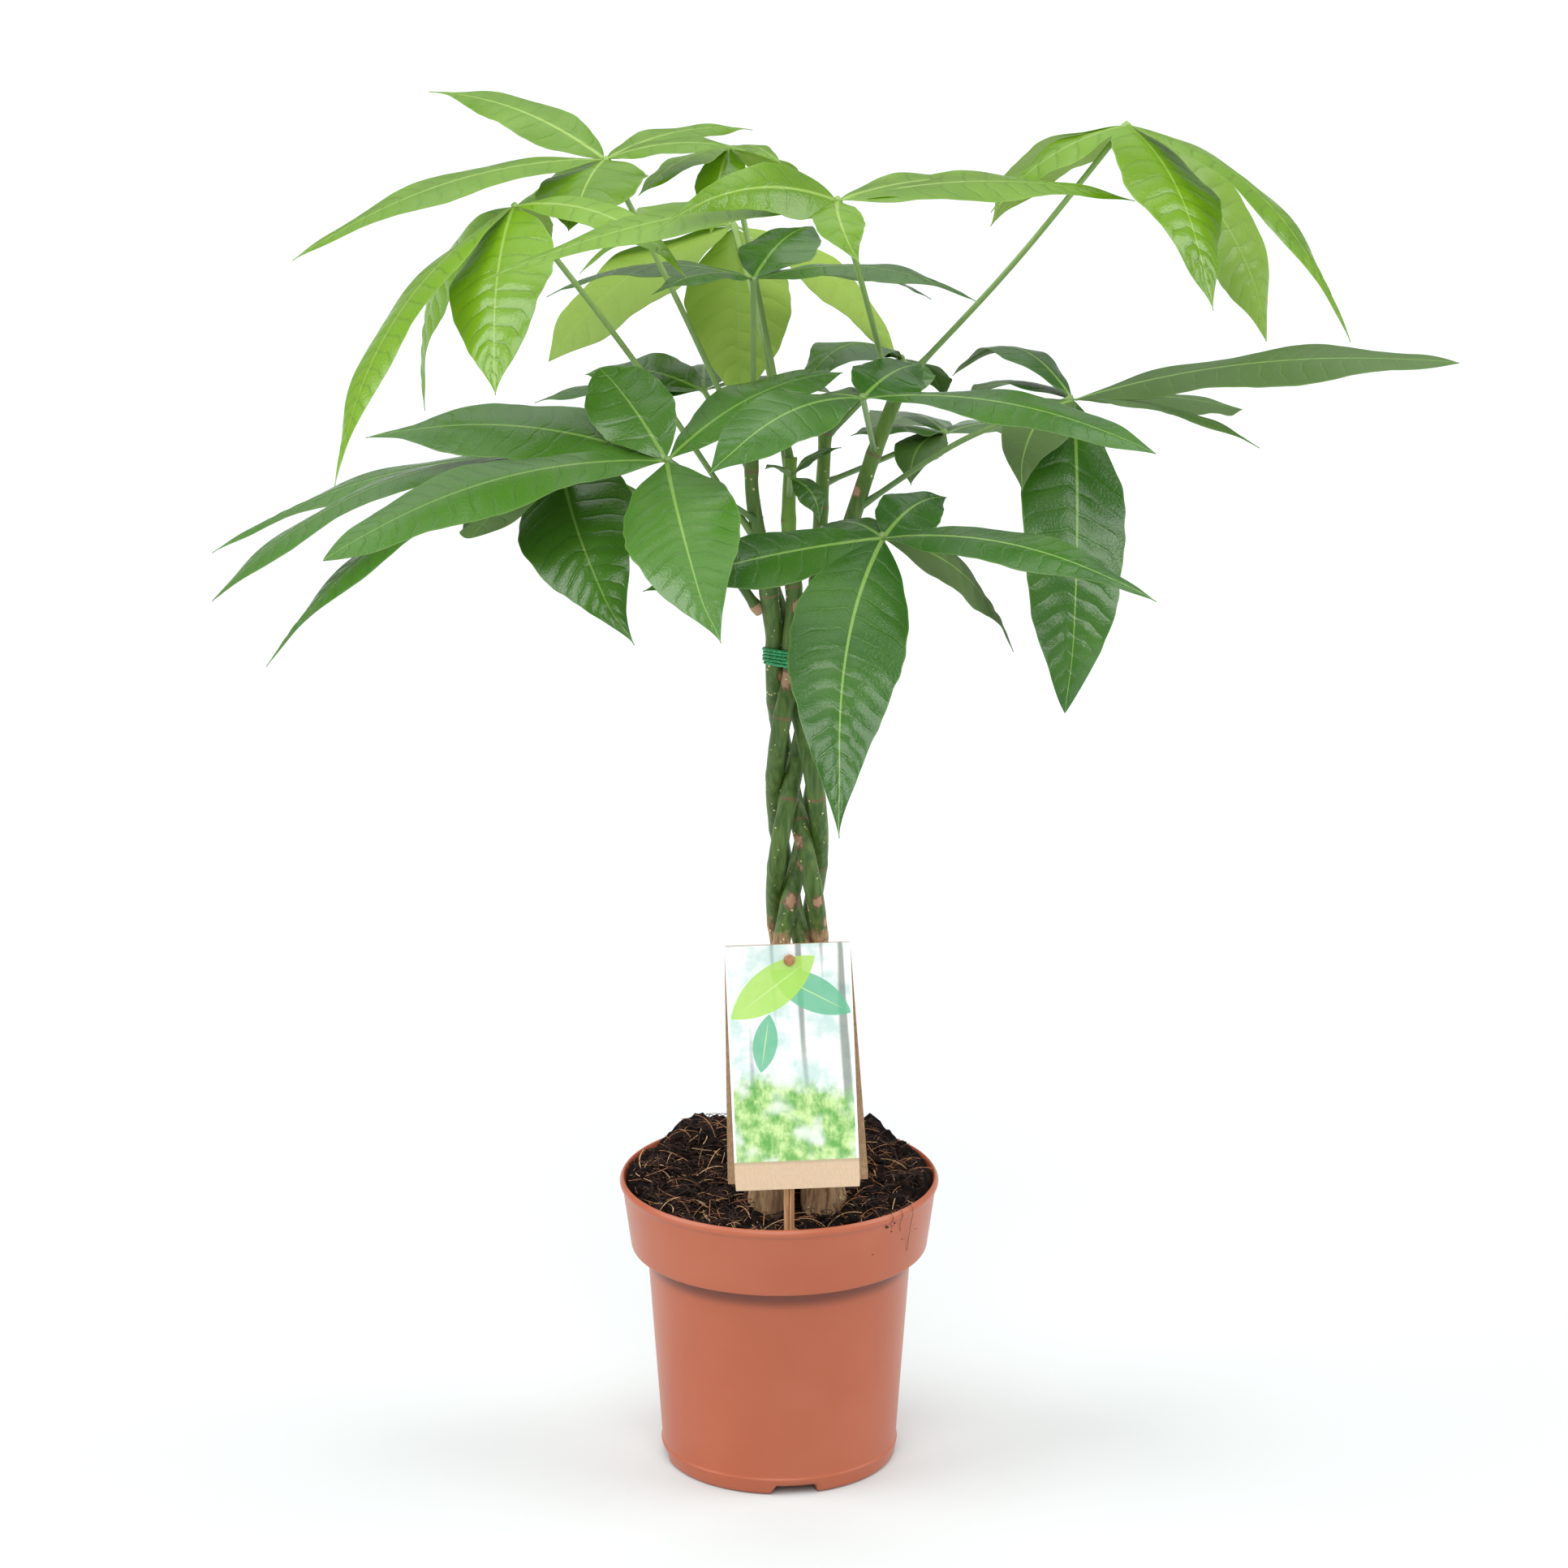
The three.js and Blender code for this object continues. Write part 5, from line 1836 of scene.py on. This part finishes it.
@dataclass
class Foliage:
    """Builds the palmate leaves with arched, quilted, veined blades."""

    trunk: Trunk
    fold: float = -0.14
    base_width: float = 2.2
    tip_width: float = 0.5
    base_gap: float = 1.0
    stalk_radius: float = 1.5
    hub_radius: float = 2.5
    blade: float = 0.42
    quilt: float = 0.019
    rib: float = 0.95
    rib_reach: float = 0.055
    groove: float = 0.45
    hook: float = 0.022
    swing: float = 0.014
    scallop: float = 0.004
    wave: float = 0.032
    vein_spacing: float = 11.0
    crowding: float = 0.51
    stations: int = 110
    columns: int = 18
    stalk_steps: int = 60
    stalk_sides: int = 14

    def outline(self, leaflet: Leaflet, t: Array) -> Array:
        """Half width of a leaflet along its length, with a short drawn-out tip.

        Args:
            leaflet: The leaflet's plan.
            t: Shares of the length, 0 at the hub.

        Returns:
            The half widths in millimetres.
        """
        rise = leaflet.fullness * leaflet.widest
        fall = leaflet.fullness * (1 - leaflet.widest)
        peak = leaflet.widest**rise * (1 - leaflet.widest) ** fall
        thin = np.where(t < 0.5, self.base_width, self.tip_width)
        return np.maximum(t**rise * (1 - t) ** fall / peak * leaflet.width, thin) / 2

    def vein_count(self, leaflet: Leaflet, t: Array, u: Array, seed: int) -> Array:
        """Number of side veins passed at each place of a blade, whole numbers lying on a vein.

        Args:
            leaflet: The leaflet's plan.
            t: Shares of the length.
            u: Shares of the half width, signed.
            seed: Number that sets the veins' waver.

        Returns:
            The counts.
        """
        size = np.abs(u)
        slant = (0.10 * size + 0.10 * size**3) * leaflet.width / leaflet.length
        waver = 0.0045 * np.sin(9.0 * size + 13.0 * t + seed) * smooth(size, 0.1, 0.5)
        share = np.clip(t - slant + waver, 0.0, 1.0)
        reached = np.log(1 - self.crowding * share) / math.log(1 - self.crowding)
        return max(leaflet.length / self.vein_spacing, 5.0) * reached + 0.35 * (u > 0)

    def spine(
        self, hub: Array, face: Array, leaflet: Leaflet, t: Array, seed: int
    ) -> tuple[Array, Array, Array]:
        """Middle line of a blade, and its directions across and out of the blade.

        Args:
            hub: Where the leaflet starts.
            face: Direction that the leaf's face points in.
            leaflet: The leaflet's plan.
            t: Shares of the length.
            seed: Number that turns its tip to one side.

        Returns:
            The line, the directions across it, and the blade's normals.
        """
        chord = direction(leaflet.heading, leaflet.rise)
        across = unit(np.cross(chord, face))
        bend = direction(leaflet.heading, leaflet.rise + 90) * leaflet.arch + across * leaflet.sway
        across = turned(across, chord, leaflet.roll)
        along = self.base_gap + (leaflet.length - self.base_gap) * t
        arch = 4 * leaflet.length * t * (1 - t)
        hook = leaflet.length * self.hook * smooth(t, 0.75, 1.0) ** 2 * math.sin(2.7 * seed)
        middle = hub + along[:, None] * chord + arch[:, None] * bend + hook[:, None] * across
        tangent = unit(chord + (4 * (1 - 2 * t))[:, None] * bend)
        normal = unit(np.cross(across, tangent))
        return middle, np.cross(tangent, normal), normal

    def relief(self, leaflet: Leaflet, t: Array, u: Array, phase: Array, seed: int) -> tuple[Array, Array]:
        """Uneven margin of a blade, and the height of its quilting, its middle groove and its waves.

        Args:
            leaflet: The leaflet's plan.
            t: Shares of the length.
            u: Shares of the half width, signed.
            phase: Side veins passed.
            seed: Number that sets its waves.

        Returns:
            The width as a share of the plain one, and the height in millimetres.
        """
        size, side = np.abs(u), np.sign(u)
        body = smooth(t, 0.02, 0.2) * (1 - smooth(t, 0.84, 1.0))
        spread = smooth(size, 0.03, 0.22) * (1 - size**3)
        slack = (0.4 + 0.8 * float(smooth(-leaflet.rise, 12.0, 45.0))) * (0.4 + 0.75 * smooth(t, 0.2, 0.65))
        uneven = 0.8 + 0.25 * np.sin(1.7 * phase + seed)
        pillow = np.abs(np.sin(math.pi * phase)) ** 0.85
        quilt = leaflet.width * self.quilt * slack * uneven * pillow * spread * body
        groove = -self.groove * np.exp(-((u / 0.05) ** 2)) * smooth(t, 0.0, 0.1) * (1 - smooth(t, 0.8, 1.0))
        swing = np.sin(31.0 * t + 2.3 * seed + 2.0 * side) + 0.6 * np.sin(67.0 * t + 1.1 * seed)
        margin = 1 + size * body * (self.swing * swing - self.scallop * np.cos(2 * math.pi * phase))
        wave = leaflet.width * self.wave * size**2 * np.sin(t * 15 + seed * 2.1 + 1.4 * side) * body
        return margin, quilt + groove + wave

    def blade_points(
        self, hub: Array, face: Array, leaflet: Leaflet, seed: int, tone: float
    ) -> tuple[Array, dict[str, Array]]:
        """Upper and lower skin of one blade, with its pattern values.

        Args:
            hub: Where the leaflet starts.
            face: Direction that the leaf's face points in.
            leaflet: The leaflet's plan.
            seed: Number that sets its waves.
            tone: How light its green is, 0 to 1, partly as painted light.

        Returns:
            Points as rings of columns (upper skin forward, lower skin back), and values for each point.
        """
        line = np.linspace(0.0, 1.0, self.stations)
        sides = np.sin(np.linspace(-math.pi / 2, math.pi / 2, self.columns + 1))
        middle, level, normal = self.spine(hub, face, leaflet, line, seed)
        half = self.outline(leaflet, line)[:, None]
        t, u = np.meshgrid(line, sides, indexing="ij")
        size = np.abs(u)
        phase = self.vein_count(leaflet, t, u, seed)
        margin, height = self.relief(leaflet, t, u, phase, seed)
        rest = u * half * margin
        lift = np.abs(rest) * self.fold + height
        skin = middle[:, None] + rest[..., None] * level[:, None] + lift[..., None] * normal[:, None]
        edge = self.blade * (1 - 0.55 * size**4) / 2
        rib = self.rib * np.exp(-((u / self.rib_reach) ** 2)) * (1 - smooth(t, 0.55, 1.0)) + 0.1
        upper = skin + edge[..., None] * normal[:, None]
        lower = skin - (edge + rib * np.minimum(half / 8, 1.0))[..., None] * normal[:, None]
        rings = np.concatenate([upper, lower[:, ::-1]], axis=1)
        # The leaf's tone, partly painted light, shifted at random for each leaflet.
        tint = tone + 0.3 * ((seed * 0.618) % 1.0 - 0.5)
        ribbed = size * half / (self.rib * (1 - t) ** 1.2 + 0.16)
        skins = {
            "across": (u, u),
            "vein": (phase, phase),
            "rib": (ribbed, ribbed),
            "under": (np.zeros_like(t), np.ones_like(t)),
            "tint": (np.full_like(t, tint),) * 2,
            "olive": (np.full_like(t, leaflet.olive),) * 2,
        }
        values = {name: np.hstack([top, low[:, ::-1]]).ravel() for name, (top, low) in skins.items()}
        return rings.reshape(-1, 3), values

    def stalk(self, leaf: Leaf) -> tuple[Array, Faces, Array]:
        """Leaf stalk from its stem to the hub, swollen at both ends.

        Args:
            leaf: The leaf's plan.

        Returns:
            Its vertices, its faces and the share of its length at each vertex.
        """
        hub = np.array(leaf.hub, float)
        foot = self.trunk.routes[leaf.stem].at_height(leaf.foot)
        middle = (foot + hub) / 2 + [0, 0, leaf.stalk_bow]
        shares = np.linspace(0.0, 1.0, self.stalk_steps)
        swell = np.minimum(np.maximum(1 - shares * 8, 0) + smooth(shares, 0.955, 1.0), 1)
        radii = self.stalk_radius + (self.hub_radius - self.stalk_radius) * swell
        radii[-1] *= 0.6
        points, faces = swept(Route([foot, middle, hub + [0, 0, 1]]).at(shares), radii, self.stalk_sides)
        return points, faces, np.repeat(shares, self.stalk_sides)

    def leaf(self, leaf: Leaf, blade: Material, stalk: Material, number: int) -> Piece:
        """Build one leaf.

        Args:
            leaf: Its plan.
            blade: Material of the blades.
            stalk: Material of the stalk.
            number: Number of the leaf, which sets its waves.

        Returns:
            The piece.
        """
        hub = np.array(leaf.hub, float)
        centre = self.trunk.centre
        outward = math.degrees(math.atan2(hub[1] - centre[1], hub[0] - centre[0]))
        face = direction(outward, 90 - leaf.lean)
        shell = Shell()
        points, faces, along = self.stalk(leaf)
        shell.add(points, faces, 1, along=along)
        faces = capped_tube(self.stations, 2 * (self.columns + 1))
        for seed, leaflet in enumerate(leaf.leaflets, 7 * number):
            points, values = self.blade_points(hub, face, leaflet, seed, leaf.tone)
            shell.add(points, faces, **values)
        return shell.build(leaf.name + "_blades", [blade, stalk])

    def build(self) -> None:
        """Build, dress and register every leaf."""
        young = LeafFinish(
            "young_blade", dark=(0.115, 0.248, 0.006), light=(0.205, 0.400, 0.014),
            vein=(0.380, 0.580, 0.105), under=(0.350, 0.510, 0.068), glow=(0.480, 0.730, 0.045),
            roughness=0.23, sheen=0.8, through=0.30, lateral=0.10, crease=0.6, density=1.52,
        )
        mature = LeafFinish(
            "mature_blade", dark=(0.027, 0.116, 0.008), light=(0.070, 0.205, 0.018),
            vein=(0.230, 0.420, 0.080), under=(0.098, 0.176, 0.035), glow=(0.200, 0.460, 0.030),
            roughness=0.25, sheen=0.7, through=0.14, lateral=0.24, crease=0.45, density=1.50,
        )
        young_stalk = StalkFinish("young_stalk", (0.270, 0.420, 0.110), (0.120, 0.230, 0.050))
        mature_stalk = StalkFinish("mature_stalk", (0.200, 0.330, 0.090), (0.090, 0.180, 0.045))
        dress = {
            Age.YOUNG: (young.build(), young_stalk.build(), Slot.YOUNG),
            Age.MATURE: (mature.build(), mature_stalk.build(), Slot.MATURE),
        }
        for number, leaf in enumerate(plan_leaves()):
            blade, stalk, slot = dress[leaf.age]
            register(self.leaf(leaf, blade, stalk, number), slot, leaf.name)


# ---------- label


@dataclass(frozen=True)
class Card:
    """One card: its lower width, its height, its pivot, the pivot's drop, its backward lean and its curl."""

    bottom: float
    height: float
    pivot: Place
    drop: float
    lean: float
    curl: float


@dataclass
class Label:
    """Plain plant label: a printed card and a kraft card pinned to a split stick by a round peg."""

    card_width: float = 65.0
    card_height: float = 132.0
    thickness: float = 0.5
    corner: float = 0.3
    curl: float = 0.6
    top: float = 309.0
    front: float = -64.0
    back: float = -59.7
    turn: float = -2.4
    lean: float = 3.0
    back_lean: float = 5.0
    back_width: float = 74.0
    back_height: float = 136.0
    middle: float = 4.3
    stick_middle: float = 5.3
    stick_width: float = 5.6
    stick_depth: float = 3.0
    stick_bottom: float = 85.0
    stick_top: float = 306.0
    stick_front: float = -63.6
    stick_steps: int = 60
    groove: float = 0.8
    ragged: float = 0.12
    peg_radius: float = 3.0
    peg_shaft: float = 1.2
    peg_length: float = 4.4
    peg_drop: float = 8.0
    columns: int = 16
    rows: int = 32

    def card(self, plan: Card) -> Shell:
        """One card as a thin plate, gently curled.

        Args:
            plan: Its sizes and its place.

        Returns:
            Its body, with its pattern values.
        """
        turn, tilt = math.radians(self.turn), math.radians(plan.lean)
        points, values = [], []
        for row in range(self.rows + 1):
            v = row / self.rows
            short = max(self.corner - min(v, 1 - v) * plan.height, 0)
            inset = self.corner - math.sqrt(max(self.corner**2 - short**2, 0))
            width = plan.bottom + (self.card_width - plan.bottom) * v - 2 * inset
            for skin in (0, 1):
                for column in range(self.columns + 1):
                    share = column / self.columns if skin == 0 else 1 - column / self.columns
                    bow = math.sin(math.pi * v) * (2 * share - 1) ** 2 - 0.4 * (1 - v)
                    x, z = (share - 0.5) * width, -plan.height * (1 - v)
                    y = (skin - 1) * self.thickness + plan.curl * bow
                    x, z = x * math.cos(turn) + z * math.sin(turn), z * math.cos(turn) - x * math.sin(turn)
                    z += plan.drop
                    y, z = y * math.cos(tilt) - z * math.sin(tilt), z * math.cos(tilt) + y * math.sin(tilt)
                    points.append(np.array([x, y, z]) + plan.pivot)
                    values.append((share, v * plan.height / self.card_width, 1.0 - skin))
        shell = Shell()
        faces = capped_tube(self.rows + 1, 2 * (self.columns + 1))
        across, up, front = np.array(values).T
        shell.add(np.array(points), faces, card_x=across, card_y=up, front=front)
        return shell

    def stick(self, wood: Material) -> Piece:
        """Split stick with a groove down its front and splintered edges.

        Args:
            wood: Its material.

        Returns:
            The piece.
        """
        half, depth, groove = self.stick_width / 2, self.stick_depth, self.groove
        section = [
            (-half, 0.25), (-half + 0.25, 0), (-groove / 2, 0), (0, groove), (groove / 2, 0),
            (half - 0.25, 0), (half, 0.25), (half, depth - 0.3), (half - 0.3, depth),
            (-half + 0.3, depth), (-half, depth - 0.3),
        ]
        points = []
        for row in range(self.stick_steps + 1):
            z = self.stick_bottom + (self.stick_top - self.stick_bottom) * row / self.stick_steps
            for number, (x, y) in enumerate(section):
                rag = self.ragged * (noise.noise(Vector((number * 3.1, z * 0.08, 1.0))) - 0.5)
                place = (self.stick_middle + x * (1 + rag * 0.5), self.stick_front + y - min(rag, 0) * 0.5, z)
                points.append(place)
        shell = Shell()
        shell.add(np.array(points), capped_tube(self.stick_steps + 1, len(section)))
        return shell.build("split_stick", [wood], sharp=True)

    def peg(self, wood: Material) -> Piece:
        """Turned peg with a round head.

        Args:
            wood: Its material.

        Returns:
            The piece.
        """
        head, shaft, end = self.peg_radius, self.peg_shaft, self.peg_length
        arc = [(head * math.sin(a), -head * math.cos(a)) for a in np.linspace(0.0, 2.2, 14)]
        arc += [(shaft, 0.6 * head), (shaft, end - 0.3), (shaft - 0.3, end), (0, end)]
        points, faces = lathed(np.array(arc), 28)
        points = np.stack([points[:, 0], points[:, 2], -points[:, 1]], axis=-1)
        points += [self.stick_middle, self.front - 0.6 * head - 0.3, self.top - self.peg_drop]
        return piece_of("peg_head", points, faces, wood)

    def build(self) -> None:
        """Build, dress and register the label's pieces."""
        pin = (self.middle, self.front, self.top - self.peg_drop)
        behind = (self.middle, self.back, self.top - 1)
        front = Card(self.card_width, self.card_height, pin, self.peg_drop, -self.lean, self.curl)
        back = Card(self.back_width, self.back_height, behind, 0.0, self.back_lean, 0.0)
        printed = self.card(front).build("front_card", [PrintFinish().build()], sharp=True)
        register(printed, Slot.PRINT, "label_front")
        kraft = self.card(back).build("back_card", [KraftFinish().build()], sharp=True)
        register(kraft, Slot.KRAFT, "label_back")
        pine = WoodFinish("split_pine", (0.400, 0.190, 0.085), (0.720, 0.410, 0.210), 0.8).build()
        register(self.stick(pine), Slot.STICK, "label_stick")
        dark = WoodFinish("turned_peg", (0.300, 0.115, 0.045), (0.520, 0.250, 0.110), 0.45).build()
        register(self.peg(dark), Slot.PEG, "label_peg")


# ---------- studio


@dataclass(frozen=True)
class Lamp:
    """Far, wide, soft lamp: heading from +X and rise in degrees, apparent width in degrees, and strength."""

    name: str
    heading: float
    rise: float
    spread: float
    strength: float

    def build(self) -> None:
        """Add the lamp, which shines with its strength in watts per square metre."""
        data = bpy.data.lights.new(self.name, "SUN")
        data.angle = math.radians(self.spread)
        data.energy = self.strength
        lamp = stand(self.name, data)
        lamp.location = Vector(direction(self.heading, self.rise)) * 4.0
        lamp.rotation_euler = (-lamp.location).to_track_quat("-Z", "Y").to_euler()


@dataclass
class Studio:
    """Pale floor, soft light and the camera at the photograph's viewing angle."""

    camera_place: Place = (2.6, -3000.0, 1292.0)
    camera_pitch: float = 16.98
    focal_pixels: float = 7397.0
    image_pixels: float = 1932.0
    sensor: float = 36.0
    view_end: float = 100.0
    floor_reach: float = 30.0
    sky_strength: float = 0.38
    lamps: tuple[Lamp, ...] = (
        Lamp("left_lamp", -170.0, 38.0, 44.0, 1.75),
        Lamp("front_lamp", -92.0, 43.0, 46.0, 1.62),
        Lamp("right_lamp", -2.0, 36.0, 44.0, 1.5),
        Lamp("top_lamp", 95.0, 74.0, 50.0, 0.6),
        Lamp("back_lamp", 98.0, 48.0, 56.0, 0.35),
    )

    def camera(self) -> None:
        """Place the camera."""
        data = bpy.data.cameras.new("photo_camera")
        data.sensor_width = self.sensor
        data.lens = self.focal_pixels / self.image_pixels * self.sensor
        data.clip_end = self.view_end
        eye = stand("photo_camera", data)
        eye.location = Vector(self.camera_place) * MM
        eye.rotation_euler = (math.radians(90.0 - self.camera_pitch), 0.0, 0.0)
        bpy.context.scene.camera = eye

    def floor(self) -> None:
        """Lay the floor."""
        reach = self.floor_reach
        mesh = bpy.data.meshes.new("studio_floor")
        corners = [(-reach, -reach, 0), (reach, -reach, 0), (reach, reach, 0), (-reach, reach, 0)]
        mesh.from_pydata(corners, [], [(0, 1, 2, 3)])
        mesh.materials.append(FloorFinish().build())
        stand("studio_floor", mesh)

    def sky(self) -> None:
        """Surround the set with even white light."""
        world = bpy.data.worlds.new("studio_white")
        world.use_nodes = True
        backdrop = world.node_tree.nodes["Background"]
        backdrop.inputs["Color"].default_value = (1.0, 1.0, 1.0, 1.0)
        backdrop.inputs["Strength"].default_value = self.sky_strength
        bpy.context.scene.world = world

    def build(self) -> None:
        """Set up the studio."""
        self.camera()
        self.floor()
        self.sky()
        for lamp in self.lamps:
            lamp.build()
        bpy.context.scene.view_settings.view_transform = "Standard"


# ---------- the whole plant


def main() -> None:
    """Build the plant in order."""
    logging.basicConfig(level=logging.INFO, format="%(name)s %(message)s")
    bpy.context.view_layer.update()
    Studio().build()
    pot = Pot()
    pot.build()
    Compost(pot).build()
    trunk = Trunk()
    trunk.build()
    Tie(trunk).build()
    Foliage(trunk).build()
    Label().build()


if __name__ == "__main__":
    main()
